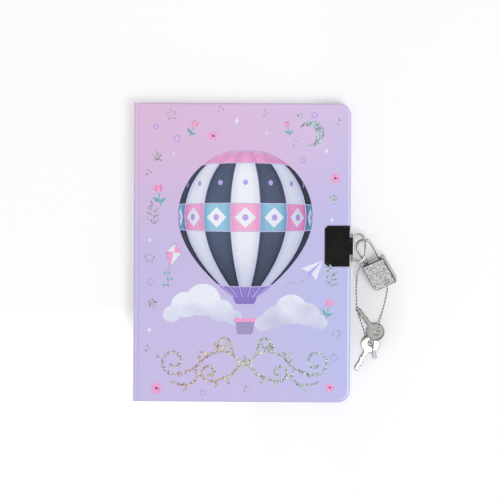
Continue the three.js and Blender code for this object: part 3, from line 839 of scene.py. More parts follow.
def airbrushed(name, light, dark, streak=0.5):
    """A balloon ink that darkens towards the balloon's edge and its seams, with fine brushed streaks."""
    finish = under_film(name)
    x, y, _ = finish.axes()
    side = x - balloon_x
    rise = y - balloon_y
    from_centre = ((side / balloon_half) ** 2 + (rise / balloon_drop) ** 2) ** 0.5
    from_light = ((side + 14) / 34) ** 2 + ((rise - 16) / 36) ** 2
    upper = (balloon_half ** 2 - rise * rise).largest(1) ** 0.5
    lower = balloon_half - (balloon_half - mouth_half) * (rise / -balloon_drop).largest(0) ** 1.9
    half = upper * (rise > 0) + lower * (rise < 0)
    turned = (side / half.largest(1)).largest(-1).smallest(1)
    turned = turned.maths("ARCSINE", turned) * (180 / math.pi)
    beside_seam = abs((turned + 90) % seam_step - seam_step / 2) / (seam_step / 2)
    brushed = finish.noise(1, 3, finish.stretched(1.5, 0.35, 0))
    shade = 0.62 * from_centre.rising(0.45, 1.08) + 0.3 * from_light.rising(0.1, 2.4) + streak * (brushed - 0.5)
    shade = (shade + 0.34 * beside_seam.rising(0.35, 1)).largest(0).smallest(1)
    finish.mottled(shade, light, dark)
    return finish


def plain_ink(name, shade, second):
    finish = under_film(name)
    finish.mottled(finish.noise(0.5, 3).rising(0.3, 0.7), shade, second)
    return finish


slate_ink = airbrushed("slate airbrush", colour(78, 90, 118), colour(24, 28, 44), 0.7)
white_ink = airbrushed("white airbrush", colour(238, 241, 250), colour(178, 186, 216), 0.35)
rose_ink = airbrushed("rose airbrush", colour(244, 178, 216), colour(196, 110, 178), 0.6)
sea_ink = airbrushed("blue airbrush", colour(150, 200, 226), colour(72, 118, 160), 0.5)
violet_ink = airbrushed("violet airbrush", colour(186, 168, 232), colour(132, 112, 196), 0.4)
dark_gores, white_gores, rose_shapes, blue_shapes, violet_shapes = [], [], [], [], []
for number, (first, second) in gores:
    odd = number % 2
    (white_gores if odd else dark_gores).append(flat_ink(patch_of(first, second, bottom, top, 24)))
    rose_shapes.append(flat_ink(patch_of(first, second, cap_low, top, 8), 0.012))
    band = flat_ink(patch_of(first, second, band_low, band_high, 8), 0.012)
    (rose_shapes if odd else blue_shapes).append(band)
    violet_shapes.append(flat_ink(patch_of(first, second, bottom, skirt_high, 4), 0.012))
mouth = set_at([(-8.3, 0), (8.3, 0), (6, -4.5), (-6, -4.5)], balloon_x, bottom)
violet_shapes.append(flat_ink(mouth, 0.012))
printed("balloon_dark_gores", dark_gores, slate_ink, 1)
printed("balloon_white_gores", white_gores, white_ink, 1)
printed("balloon_blue_band", blue_shapes, sea_ink, 2)
printed("balloon_rose_band", rose_shapes, rose_ink, 2)
printed("balloon_violet_skirt", violet_shapes, violet_ink, 2)

diamonds, dots = [], []
middle_band = (band_low + band_high) / 2
for _, (first, second) in gores:
    middle = (first + second) / 2
    spread = (second - first) * 0.36
    diamond = [
        gore_point(middle - spread, middle_band), gore_point(middle, band_high - 2.5),
        gore_point(middle + spread, middle_band), gore_point(middle, band_low + 2.5),
    ]
    diamonds.append(flat_ink(diamond, 0.008))
    foreshortened = math.cos(math.radians(middle))
    for height, wide, extra, tall in ((middle_band, 1.9, 0.15, 2.2), (47, 1.6, 0.1, 1.8)):
        dot = ring_of(*gore_point(middle, height), wide * foreshortened + extra, tall)
        dots.append(flat_ink(dot, 0.008))
printed("balloon_diamonds", diamonds, white_ink, 3)
printed("balloon_dots", dots, violet_ink, 4)

lines = []
for turn in seams[1:-1]:
    heights = [bottom + (top - bottom) * i / 30 for i in range(31)]
    lines.append(stroke([gore_point(turn, h) for h in heights], 0.45, spread=1))
for height in (cap_low, band_low, band_high, skirt_high):
    lines.append(stroke([gore_point(-90 + 6 * i, height) for i in range(31)], 0.5, spread=1))
for x in (-5.2, -1.8, 1.8, 5.2):
    lines.append(stroke(set_at([(x, -4.3), (x * 0.92, -15.5)], balloon_x, bottom), 0.4, spread=1))
line_ink = plain_ink("pale violet line", colour(206, 198, 236), colour(188, 180, 226))
printed("balloon_seams", lines, line_ink, 4)

basket = [(-6.4, -15), (6.4, -15), (5.4, -23.5), (4, -24.8), (-4, -24.8), (-5.4, -23.5)]
rail = [(-7.2, -14), (7.2, -14), (7.2, -16.4), (-7.2, -16.4)]
wicker = under_film("printed wicker")
wicker_x, wicker_y, _ = wicker.axes()
woven = (wicker_x * 2.6).sine() * (wicker_y * 4.2).sine()
wicker.mottled(woven.rising(-0.5, 0.5), colour(112, 96, 150), colour(196, 182, 226))
printed("balloon_basket", [flat_ink(set_at(basket, balloon_x, bottom), 0.02)], wicker, 5)

soft_cloud = under_film("cloud airbrush")
_, cloud_y, _ = soft_cloud.axes()
billows = soft_cloud.noise(0.07, 3, roughness=0.4)
cloud_shade = ((cloud_y + 62) / 34 + (billows - 0.5) * 1.5).smallest(1).largest(0)
soft_cloud.mottled(cloud_shade, colour(184, 186, 220), colour(232, 236, 248))
clouds = [
    cloud_of([(-47, -42, 6), (-38, -36, 9.5), (-26, -33, 12), (-14, -40, 8.5), (-5, -44, 5.5)]),
    cloud_of([(14, -48, 5.5), (22, -44, 8), (33, -39, 11), (44, -42, 8.5), (52, -47, 5.5)]),
]
printed("clouds", [flat_ink(cloud, 0.02) for cloud in clouds], soft_cloud, 0)


def tulip(x, y, size, turn):
    """A cup of three petals, and a stalk and two leaves, as separate lists for the two inks."""

    def placed(outline):
        return set_at([(px * size, py * size) for px, py in outline], x, y, turn)

    petals = [leaf_of(0, 0, 5.4, 3.4, 116), leaf_of(0, 0, 5.4, 3.4, 64), leaf_of(0, -0.4, 5.6, 3.2, 90)]
    leaves = [leaf_of(0, -5.6, 5, 1.9, 140), leaf_of(0, -6.2, 4.4, 1.8, 38)]
    stalk = [(-0.28, 0), (0.28, 0), (0.34, -8), (-0.34, -8)]
    return [placed(petal) for petal in petals], [placed(leaf) for leaf in (*leaves, stalk)]


rose_marks, leaf_marks, white_marks, violet_marks, violet_rings, dark_marks = [], [], [], [], [], []
foil_marks, foil_lines = [], []

# A kite with four panels and a tail of bows, and a folded paper plane with its trail.
kite_tips = set_at([(1.5, 8), (5.2, 1.2), (-2.2, -8), (-4.6, 2.6)], -46, -2)
kite_crossing = (-45.8, 0)
for number, (a, b) in enumerate(zip(kite_tips, kite_tips[1:] + kite_tips[:1])):
    (white_marks if number % 2 else rose_marks).append([a, b, kite_crossing])
foil_lines.append(([*kite_tips, kite_tips[0]], 0.4))
kite_tail = [(-48.2, -10), (-50.4, -14), (-48.6, -18), (-51, -22)]
foil_lines.append((kite_tail, 0.35))
for x, y in kite_tail[1:]:
    for side in (-2, 2):
        leaf_marks.append([(x, y), (x + side, y + 1.1), (x + side, y - 1.1)])
plane = (46, -12)
white_marks.append(set_at([(8, 7), (-6.5, 1.6), (-1.8, -0.6)], *plane))
white_marks.append(set_at([(8, 7), (0.4, -1.8), (3.6, -6.4)], *plane))
violet_marks.append(set_at([(8, 7), (-1.8, -0.6), (-1.4, -5.2), (0.4, -1.8)], *plane))
foil_lines.append((set_at([(-4, -6), (-8, -8.5), (-13, -8), (-17, -10.5)], *plane), 0.35))

# Flowers, sparkles, rings, a moon, stars, sprigs and drops, scattered round the balloon.
for x, y, size, turn in ((-56, 40, 1.15, 8), (58, -36, 1.05, -14), (-33, 84, 0.9, -22), (30, 84, 0.8, 16)):
    petals, leaves = tulip(x, y, size, turn)
    rose_marks += petals
    leaf_marks += leaves
    foil_lines += [(petals[2], 0.4), (leaves[0], 0.35)]
for x, y, size, turn in ((-57, -91, 1.0, 20), (59, -90, 0.8, 0), (-20, 78, 0.8, 10), (62, 50, 0.9, 30)):
    for lean in range(turn, turn + 360, 72):
        petal = ring_of(2.3 * size, 0, 1.75 * size, 1.45 * size, count=18)
        rose_marks.append(set_at(petal, x, y, lean))
    dark_marks.append(ring_of(x, y, 0.9 * size, count=14))
for x, y, long in (
    (-4, 88, 3.6), (56, 68, 3.2), (-62, 8, 2.8), (60, 22, 3.0), (-62, -52, 3), (16, 80, 2), (-46, 66, 2),
):
    white_marks.append(sparkle_of(x, y, long))
for x, y, radius in (
    (-44, 76, 2.1), (48, 92, 1.8), (-61, -20, 2.2), (62, -70, 2), (-58, 84, 1.5), (-26, -94, 1.7), (40, 62, 1.6),
):
    violet_rings.append(ring_of(x, y, radius, count=20))
foil_marks.append(moon_of(46, 80, 8.6, 205))
for x, y, long, turn in ((-57, 64, 4.4, 96), (61, 36, 3.6, 80), (-60, -34, 4, 84), (38, 92, 2.6, 100)):
    foil_marks.append(star_of(x, y, long, long * 0.46, 5, turn))
for x, y, long, turn in ((-48, 92, 4, 98), (63, -54, 4, 84), (-62, -4, 3.8, 90)):
    foil_lines.append((star_of(x, y, long, long * 0.5, 5, turn), 0.5))
for x, y in ((-60, 24), (60, -18)):
    foil_lines.append((set_at([(0, -6), (0.5, -2), (0.2, 2), (-0.6, 6)], x, y), 0.5))
    for rise in (0, 3.8, 7.6):
        foil_marks.append(leaf_of(x + 0.4, y - 4.8 + rise, 5.2, 1.9, 36))
        foil_marks.append(leaf_of(x - 0.1, y - 3.4 + rise, 5.2, 1.9, 146))
    foil_marks.append(leaf_of(x - 0.6, y + 6, 4.6, 1.9, 96))
for x, y in ((14, 92), (-16, 94), (34, 72), (-64, 52), (64, 86), (-64, -66), (2, -93)):
    for dx, dy in ((0, 0), (2.6, 1.5), (0.7, 3.2)):
        foil_marks.append(ring_of(x + dx, y + dy, 0.62, 0.95, 20, 12))


def inked(outlines, depth=0.012):
    return [flat_ink(outline, depth) for outline in outlines]


rose_flat = plain_ink("rose ink", colour(238, 150, 204), colour(244, 168, 214))
teal_flat = plain_ink("teal ink", colour(112, 188, 190), colour(96, 176, 180))
white_flat = plain_ink("white ink", colour(236, 236, 248), colour(226, 228, 246))
violet_flat = plain_ink("violet ink", colour(176, 164, 228), colour(186, 174, 232))
dark_flat = plain_ink("dark ink", colour(74, 76, 96), colour(88, 90, 110))
printed("rose_motifs", inked(rose_marks) + inked([set_at(rail, balloon_x, bottom)], 0.01), rose_flat, 6)
printed("leaf_motifs", inked(leaf_marks), teal_flat, 5)
printed("white_sparkles", inked(white_marks), white_flat, 3)
ring_strokes = [stroke(ring, 0.75, True, 1) for ring in violet_rings]
printed("violet_rings", ring_strokes + inked(violet_marks), violet_flat, 3)
printed("blossom_centres", inked(dark_marks, 0.008), dark_flat, 7)

# The scroll: two mirrored S-shaped sprays of curls and leaves that meet in a small rosette.
scroll_x, scroll_y = 2, -74
scroll_stems = [
    [(3, 0), (8, 5.5), (16, 8), (25, 4.5), (33, -3), (41, -6.5), *curl(47.5, 1, 9.2, 232, 1.25, 0.3, 16)],
    [(8, 5.5), (9, 10.5), *curl(14, 12.6, 4.6, 190, -1.1, 0.35, 12)],
    [(3, -1), (9, -8), (18, -11), *curl(23.5, -6.2, 6, 250, 1.15, 0.3, 14)],
    [(33, -3), (32, -10), (37, -14.5), (45, -14)],
]
stem_leaves = (
    (17, 8, 7, 62), (24, 5.4, 7, 20), (30, 0.5, 6.5, 78), (13, -10, 6, 236), (18.5, -11, 6, 282),
    (38, -14.5, 6, 300), (45, -14, 5.5, 20), (41, -6.3, 5.5, 318), (57.5, 3, 4.5, 60), (32.2, -7.5, 5, 205),
)
scroll = []
scroll_leaves = []
for hand in (1, -1):
    scroll += [[(scroll_x + hand * x, scroll_y + y) for x, y in stem] for stem in scroll_stems]
    for x, y, length, turn in stem_leaves:
        lean = turn if hand > 0 else 180 - turn
        scroll_leaves.append(leaf_of(scroll_x + hand * x, scroll_y + y, length, length * 0.36, lean))
for turn in range(30, 390, 60):
    scroll_leaves.append(leaf_of(scroll_x, scroll_y, 5, 2.1, turn))


def slanted(finish, flakes, amount):
    """Tips each flake its own way, by its random colour."""
    slant = finish.vectors("SUBTRACT", flakes, (0.5, 0.5, 0.5))
    slant = finish.vectors("SCALE", slant, Scale=amount)
    facing = finish.node("ShaderNodeNewGeometry", out="Normal")
    finish.feed(Normal=finish.vectors("NORMALIZE", finish.vectors("ADD", facing, slant)))


def holographic(name, tints):
    """Glitter foil: flakes that each lie at their own slant, in one tint that shifts slowly across the cover, with
    glints and white sparkles painted into their colour.
    """
    finish = Finish(name, Metallic=0.3)
    x, _, _ = finish.axes()
    coarse_dark, coarse_shift, _ = finish.axes(finish.cells(1.5))
    fine_cells = finish.cells(3.6)
    fine_dark, fine_dull, painted_sparkle = finish.axes(fine_cells)
    along = ((x + 60) / 120 + (coarse_shift - 0.5) * 0.35).smallest(1).largest(0)
    tint = finish.node("ShaderNodeValToRGB", {"stops": tints}, {0: along})
    # Painted glints: each flake is painted dark or bright, and a few are painted white as sparkles.
    painted_glint = (coarse_dark * 0.5 + fine_dark * 0.5).rising(0.34, 0.66)
    flaked = finish.mix(painted_glint, colour(78, 82, 94), tint)
    finish.mottled(painted_sparkle.rising(0.74, 0.8), flaked, colour(250, 252, 255))
    finish.feed(Roughness=0.25 + 0.35 * fine_dull)
    slanted(finish, fine_cells, 0.5)
    return finish


def foil_line(line, width):
    """A foil line: smooth and open through four points, or round all the corners of an outline."""
    outline = len(line) > 4
    return stroke(line, width, outline, 1 if outline else 5)


foil = holographic("holographic glitter foil", [
    (0.0, colour(196, 190, 228)), (0.18, colour(236, 178, 190)), (0.4, colour(232, 204, 172)),
    (0.62, colour(206, 222, 206)), (0.85, colour(176, 218, 228)), (1.0, colour(206, 212, 240)),
])
foil_scroll = [stroke(stem, 1.8, spread=4) for stem in scroll]
printed("foil_scroll", foil_scroll + inked(scroll_leaves, 0.03), foil, 5)
printed("foil_motifs", inked(foil_marks, 0.03) + [foil_line(*line) for line in foil_lines], foil, 8)

# Padding and boards
# A sheet of white foam lies between the wrap and the board, and the board is grey, pressed from waste paper. Both
# show only at the cut edge of a worn cover.
foam = Finish("white foam", Roughness=0.95)
bubbles = foam.cells(3.5, 0)
foam.mottled(bubbles.rising(0.1, 0.6), colour(252, 250, 246), colour(232, 228, 222))
foam.bump(bubbles, 0.1)
pad_inset = 0.45
pad_thickness = 1
pad_bed = 1.15
for side, face, outward in both_sides:
    low, high = sorted((face - outward * pad_inset, face - outward * (pad_inset + pad_thickness)))
    pad = rounded_slab(
        panel_left + pad_inset, fore_edge - pad_inset, cover_half - pad_inset, 1.2, corner_round - 0.4, low, high
    )
    rounded(pad, rim_edges(pad, face - outward * pad_inset), 0.85, 5)
    for x in (clip_left - 0.9, clip_left - 0.55):
        cut_across(pad, x=x)
    for spread in (0.55, 0.9):
        cut_across(pad, y=clip_y - clip_half - spread)
        cut_across(pad, y=clip_y + clip_half + spread)
    for v in pad.verts:
        depth = (face - v.co.z) * outward
        if abs(v.co.y - clip_y) < clip_half + 0.6 and v.co.x > clip_left - 0.6 and depth < pad_bed:
            v.co.z = face - outward * pad_bed
    padding = as_piece(f"{side}_padding", pad, [foam], f"{side}_cover", [f"{side}_foam"])

greyboard = Finish("greyboard", Roughness=0.95)
flecks = greyboard.noise(2.2, 4, roughness=0.7)
layers = greyboard.noise(1, 3, greyboard.stretched(0.15, 0.15, 9))
greyboard.mottled((flecks + layers) * 0.5, colour(118, 110, 102), colour(176, 168, 158))
greyboard.bump(flecks, 0.05)


def finished(nodes, finish):
    """Gives solids of the frame, which stay as they are, their material."""
    for name in nodes:
        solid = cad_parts[name]
        solid.data.materials.clear()
        solid.data.materials.append(finish.material)


finished(("front_board", "back_board", "spine_board"), greyboard)

# Spine and creases
# The same sheet of wrap runs on round the spine's board. Between spine and cover it is bent round the edge and
# pressed into a groove, and that strip is the hinge.
crease_depth = 2.4
spine_bend = 0.8
spine_sheet = rounded_slab(spine_edge, -70.5, cover_half, 0.05, 0.05, crease_depth, cover_face - crease_depth, 1)
as_piece("spine_printed_wrap", eased(spine_sheet, 0.04), [film], "spine", ["spine_wrap"])


def crease_strip(face, outward):
    """The strip of wrap between the spine and one cover, as one bent sheet along the whole height."""
    quarter = [math.radians(90) * i / 8 for i in range(9)]
    profile = [(spine_edge, crease_depth), (spine_edge, 2.0), (spine_edge, 1.5)]
    profile += [
        (spine_edge + spine_bend - spine_bend * math.cos(a), 1.05 - spine_bend * math.sin(a)) for a in quarter
    ]
    profile += [(-71.3, 0.24), (-70.9, 0.26), (-70.4, 0.31), (-70, 0.34), (-69.6, 0.28), (-69.3, 0.12)]
    profile += [(-69, 0.02), (-68.7, -0.004)]
    shape = bmesh.new()
    points = [shape.verts.new((x, -cover_half, face - outward * depth)) for x, depth in profile]
    edges = [shape.edges.new(pair) for pair in zip(points, points[1:])]
    moved_out(shape, bmesh.ops.extrude_edge_only(shape, edges=edges)["geom"], (0, 2 * cover_half, 0))
    for y in (-cover_half, cover_half):
        rim = [v for v in shape.verts if abs(v.co.y - y) < 1e-4 and v.co.x < panel_left + 0.15]
        rim.sort(key=lambda v: v.co.x + outward * v.co.z)
        shape.faces.new([*rim, shape.verts.new((panel_left, y, face - outward * crease_depth))])
    bmesh.ops.recalc_face_normals(shape, faces=shape.faces)
    if sum(f.normal.x for f in shape.faces) > 0:
        bmesh.ops.reverse_faces(shape, faces=shape.faces)
    return shape


for side, face, outward in both_sides:
    crease = as_piece(
        f"{side}_hinge_crease", crease_strip(face, outward), [film], None, [f"{side}_crease"]
    )
    thickened(crease, "paper", 0.3)
    keep_flat(crease)
    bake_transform(crease)

# Endpapers and flyleaves
# Lilac paper with a small printed pattern of dots and rings. It is pasted over the turned-in wrap on the inner face
# of each cover, and a loose leaf of the same paper faces it.
endpaper = Finish("printed endpaper", Roughness=0.85)
paper_x, paper_y, _ = endpaper.axes()
row = (paper_y / 9).maths("FLOOR", paper_y / 9)
shifted = paper_x + (row % 2) * 4.5
across = abs(shifted % 9 - 4.5)
along = abs(paper_y % 9 - 4.5)
from_centre = (across * across + along * along) ** 0.5
ring_mark = (from_centre.rising(1.35, 1.5)) * (1 - from_centre.rising(1.85, 2.0))
dot_mark = 1 - from_centre.rising(0.55, 0.7)
endpaper_fibre = endpaper.noise(2.5, 4)
lilac = endpaper.mix(endpaper_fibre, colour(224, 211, 243), colour(232, 221, 248))
marked = endpaper.mix(ring_mark * 0.85, lilac, colour(246, 240, 252))
endpaper.feed(Base_Color=endpaper.mix(dot_mark * 0.85, marked, colour(240, 176, 208)))
endpaper.bump(endpaper_fibre, 0.01)
finished(("front_endpaper", "back_endpaper", "front_flyleaf", "back_flyleaf"), endpaper)

# Leaves
# Seven sections of eight leaves of cream paper, ruled in pale violet. Each section is thin at its fold, where it is
# glued to the cloth on the block's back, and its leaves stand a little uneven at the fore edge.
fold_x = -69.65
leaf_right = 69
leaf_half = 96.5
section_pitch = 1.2
first_section = 5.0
leaves_each = 8
ruled = Finish("ruled leaf paper", Roughness=0.9)
leaf_x, leaf_y, _ = ruled.axes()
fibre = ruled.noise(3, 4)
line_mark = 1 - abs((leaf_y + 2) % 7 - 3.5).rising(0.08, 0.18)
inside = (1 - abs(leaf_x).rising(58, 58.2)) * (1 - abs(leaf_y + 4).rising(82, 82.2))
layer_shade = ruled.noise(1, 1, ruled.stretched(0.02, 0.02, 14))
cream = ruled.mix(fibre, colour(250, 247, 240), colour(242, 237, 226))
cream = ruled.mix(layer_shade.rising(0.35, 0.7) * 0.2, cream, colour(214, 206, 196))
ruled.feed(Base_Color=ruled.mix(line_mark * inside * 0.7, cream, colour(178, 166, 214)))
ruled.bump(fibre, 0.01)
uneven = random.Random(12)
for number in range(7):
    middle = first_section + number * section_pitch
    leaves = []
    for leaf in range(leaves_each):
        height = (leaf - (leaves_each - 1) / 2) * 0.125
        inset = uneven.uniform(0, 0.3)
        sheet = rounded_slab(
            fold_x, leaf_right - inset, leaf_half - uneven.uniform(0, 0.12), 0.2, 6, height - 0.05, height + 0.05, 5
        )
        for x in (fold_x + 0.8, fold_x + 1.8, fold_x + 4):
            cut_across(sheet, x=x)
        for v in sheet.verts:
            share = min(1, max(0.28, 0.28 + 0.72 * (v.co.x - fold_x) / 4))
            v.co.z = middle + v.co.z * share
        leaves.append(sheet)
    section = join_shapes(leaves)
    for face in section.faces:
        face.material_index = 0
    body = "back_cover" if number == 0 else f"section_{number + 1}"
    as_piece(f"leaves_{number + 1}", section, [ruled], body, [f"section_{number + 1}"])

mull = Finish("lining cloth", Roughness=0.95)
_, mull_y, mull_z = mull.axes()
warp = (mull_y * 9).sine() * 0.5 + 0.5
weft = (mull_z * 9).sine() * 0.5 + 0.5
mull.feed(Base_Color=mull.mix(warp * weft, colour(206, 200, 190), colour(246, 243, 236)))
mull.bump(warp * weft, 0.06)
finished(["spine_lining"], mull)

# Clips
# Each clip is one strip of chromed sheet steel. Two tabs fold round the cover's edge and back in under it, and the
# tongue between them is rolled round the ring's bar.
chrome = Finish("polished chrome", Metallic=1.0)
tarnish = chrome.noise(0.9, 5, roughness=0.7)
scuffs = chrome.noise(3.4, 5, roughness=0.7)
chrome.feed(
    Base_Color=chrome.mix(tarnish.rising(0.35, 0.7), colour(221, 220, 215), colour(236, 235, 232)),
    Roughness=0.05 + 0.07 * (tarnish.rising(0.42, 0.68) * scuffs.rising(0.36, 0.62)),
)
chrome.bump(scuffs * 0.3 + tarnish, 0.007)
tongue_half = 5.85
fold_width = 4.45
barrel_x = 74.1


def clip_sheet(face, outward):
    """The clip's strip as a surface half way through its metal."""
    plate_z = face - outward * 0.35
    low, high = clip_y - clip_half, clip_y + clip_half
    root = fore_edge - 0.5
    stops = [low, low + fold_width, clip_y - tongue_half, clip_y + tongue_half, high - fold_width, high]
    shape = bmesh.new()
    rim = [(root, y) for y in stops]
    rim += [(clip_left + 2, high), (clip_left, high - 2), (clip_left, low + 2), (clip_left + 2, low)]
    corners = [shape.verts.new((x, y, plate_z)) for x, y in rim]
    shape.faces.new(corners)
    shape.edges.ensure_lookup_table()

    def edge_between(a, b):
        return next(e for e in shape.edges if {v for v in e.verts} == {corners[a], corners[b]})

    def stretched(edges, move):
        return moved_out(shape, bmesh.ops.extrude_edge_only(shape, edges=edges)["geom"], move)

    def rolled(edges, centre, angle, steps):
        spun = bmesh.ops.spin(
            shape, geom=edges, cent=(centre[0], 0, centre[1]), axis=(0, outward, 0), dvec=(0, 0, 0),
            angle=angle, steps=steps, use_merge=False, use_duplicate=False,
        )["geom_last"]
        return [e for e in spun if isinstance(e, bmesh.types.BMEdge)]

    jaw_ends = []
    for a, b in ((0, 1), (4, 5)):
        edges = stretched([edge_between(a, b)], (fore_edge - 0.4 - root, 0, 0))
        edges = rolled(edges, (fore_edge - 0.4, face - outward * 1.1), math.radians(90), 6)
        edges = stretched(edges, (0, 0, -outward * 2.0))
        edges = rolled(edges, (fore_edge - 0.15, face - outward * 3.1), math.radians(90), 5)
        edges = stretched(edges, (-1.85, 0, 0))
        jaw_ends.append(edges[0])
    jaw_z = face - outward * 3.6
    near = sorted({v for e in jaw_ends for v in e.verts}, key=lambda v: v.co.y)
    far = [shape.verts.new((jaw_left, y, jaw_z)) for y in (high, low)]
    shape.faces.new([*near, *far])
    edges = stretched([edge_between(2, 3)], (barrel_x - root, 0, 0))
    rolled(edges, (barrel_x, face - outward * 1.5), math.radians(260), 22)
    bmesh.ops.recalc_face_normals(shape, faces=shape.faces)
    return shape


for side, face, outward in (("front", cover_face, 1), ("back", 0, -1)):
    clip = as_piece(f"{side}_edge_clip", clip_sheet(face, outward), [chrome], f"{side}_cover",
                    [f"{side}_clip"], 35)
    thickened(clip, "metal", 0.5, 0)
    rolled_edge = clip.modifiers.new("eased edges", "BEVEL")
    rolled_edge.width = 0.1 / 1000
    rolled_edge.segments = 2
    rolled_edge.limit_method = "ANGLE"
    rolled_edge.angle_limit = math.radians(40)
    keep_flat(clip)

# Rings
# A D of round wire hangs in each clip's rolled tongue. The front one lies out flat in the shackle, and the back one
# stands against the fore edge under it.
ring_wire = 1.6
arm = 7.75
wide = 9.2
ring_reach = 8.4
bend = 0.85
ring_half = [
    (0, arm / 3),
    (0, arm * 2 / 3),
    (0, arm - bend),
    (bend * 0.3, arm - bend * 0.28),
    (bend, arm + 0.02),
    (ring_reach * 0.27, arm + (wide - arm) * 0.55),
    (ring_reach * 0.45, wide * 0.995),
    (ring_reach * 0.62, wide * 0.96),
    (ring_reach * 0.79, wide * 0.83),
    (ring_reach * 0.92, wide * 0.62),
    (ring_reach * 0.985, wide * 0.36),
]
ring_outline = [*ring_half, (ring_reach, 0), *[(x, -y) for x, y in reversed(ring_half)]]
ring_slip = 3.55
for side, height, standing in (("front", cover_face - 1.5, False), ("back", 1.5, True)):
    if standing:
        points = [(barrel_x, ring_slip + y, height + x) for x, y in ring_outline]
    else:
        points = [(barrel_x + x, ring_slip + y, height) for x, y in ring_outline]
    ring = tube_mesh([smooth_line(points, 4, closed=True)], ring_wire, 16, closed=True)
    as_piece(f"{side}_wire_ring", ring, [chrome], f"{side}_ring", [f"{side}_ring"])

# Padlock
# A small die-cast padlock of satin steel. Two thin plates with a hammered glitter face are set in its front and
# back, the shackle is polished wire, and a drum with the keyway turns in its lower end.
satin = Finish("satin steel", Metallic=1.0)
casting = satin.noise(2.2, 4)
satin.feed(
    Base_Color=satin.mix(casting, colour(160, 160, 158), colour(180, 180, 177)),
    Roughness=0.16 + 0.12 * casting,
)
satin.bump(casting, 0.02)


def eased_copy(node, width):
    """A rigid solid of the frame with its facets joined and its edges rounded, in millimetres."""
    shape = bmesh.new()
    shape.from_mesh(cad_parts[node].data)
    bmesh.ops.scale(shape, vec=(1000, 1000, 1000), verts=shape.verts)
    bmesh.ops.remove_doubles(shape, verts=shape.verts, dist=1e-3)
    bmesh.ops.dissolve_limit(shape, angle_limit=math.radians(2), verts=shape.verts, edges=shape.edges)
    return eased(shape, width, 2, 50)


case = eased_copy("padlock_body", 0.14)
keep_flat(as_piece("padlock_case", case, [satin], "padlock", ["padlock_body"]))
drum = eased_copy("key_plug", 0.06)
keep_flat(as_piece("keyway_drum", drum, [satin], "key_plug", ["key_plug"]))

hammered = Finish("hammered glitter face", Metallic=0.5)
# Painted glints: each flake is painted from grey to white, for the light its facet catches.
flakes = hammered.cells(2.7)
painted_flake_glint, flake_dullness, _ = hammered.axes(flakes)
hammered.mottled(painted_flake_glint.rising(0.2, 0.8), colour(140, 141, 144), colour(254, 254, 255))
hammered.feed(Roughness=0.34 + 0.25 * flake_dullness)
slanted(hammered, flakes, 0.45)

plate_reach = (7.7, 9.7)
for side, outward in (("front", 1), ("back", -1)):
    plate = rounded_slab(-plate_reach[0], plate_reach[0], plate_reach[1], 1.0, 1.0, 3.4, 3.95, 5)
    face = [f for f in plate.faces if f.calc_center_median().z > 3.9]
    bmesh.ops.inset_region(plate, faces=face, thickness=0.25, depth=0)
    bmesh.ops.inset_region(plate, faces=face, thickness=0.45, depth=0)
    bmesh.ops.inset_region(plate, faces=face, thickness=0.12, depth=-0.16)
    eased(plate, 0.08, 2, 30)
    # The plate's rim takes the dark painted edge, as shade in the joint round the plate.
    for f in plate.faces:
        middle = f.calc_center_median()
        in_rim = abs(middle.x) > plate_reach[0] - 0.2 or abs(middle.y) > plate_reach[1] - 0.2
        f.material_index = 1 if in_rim else 0
    turned = lock_place @ Matrix.Rotation(0 if outward > 0 else math.pi, 4, "Y")
    bmesh.ops.transform(plate, matrix=turned, verts=plate.verts)
    plated = as_piece(
        f"{side}_hammered_plate", plate, [hammered, dark_painted_edge], "padlock", [f"padlock_{side}_plate"]
    )
    keep_flat(plated)

arch_y = 21.3
shackle_line = [Vector((-leg_x, 6.6, 0)), Vector((-leg_x, 7.1, 0)), Vector((-leg_x, 8.5, 0))]
shackle_line += [Vector((-leg_x, 8.5 + (arch_y - 8.5) * i / 6, 0)) for i in range(1, 6)]
shackle_line += [
    Vector((-leg_x * math.cos(a), arch_y + leg_x * math.sin(a), 0)) for a in [math.pi * i / 40 for i in range(41)]
]
shackle_line += [Vector((leg_x, arch_y - (arch_y + 1.5) * i / 6, 0)) for i in range(1, 7)]
shackle = tube_mesh([shackle_line], 2, 20)
for v in shackle.verts:
    if 7.0 < v.co.y < 8.6 and v.co.x < 0:
        v.co.x = min(v.co.x, -leg_x + 0.5)
bmesh.ops.transform(shackle, matrix=lock_place, verts=shackle.verts)
as_piece("polished_shackle", shackle, [chrome], "shackle", ["shackle"])

spring_steel = Finish("spring steel", Metallic=1.0)
oil = spring_steel.noise(1.5, 2)
spring_steel.feed(
    Base_Color=spring_steel.mix(oil, colour(120, 122, 130), colour(168, 170, 176)), Roughness=0.25 + 0.15 * oil
)
finished(("shackle_spring", "latch_leaf"), spring_steel)

# Table and light
# A white table, a lamp to the front and right, and a white card behind the camera. Polished metal that faces up
# mirrors a dark ceiling, which shows as black, with pale walls round it and three patches of light.
table = bpy.data.objects.new("table", bpy.data.meshes.new("table"))
table_top = bmesh.new()
bmesh.ops.create_grid(table_top, x_segments=1, y_segments=1, size=3)
bmesh.ops.translate(table_top, vec=(0, 0, -0.00002), verts=table_top.verts)
table_top.to_mesh(table.data)
table_top.free()
bpy.context.scene.collection.objects.link(table)
laminate = Finish("white table", Roughness=0.7, Specular_IOR_Level=0.2, Emission_Strength=1)
table_x, table_y, _ = laminate.axes()
# Masks for the table's painted light: on the right it glows less and is paler instead, at the lower left it glows
# more.
right_side = table_x.rising(38, 76)
lower_left = (1 - table_y.rising(-60, -34)) * (1 - table_x.rising(-60, 20))
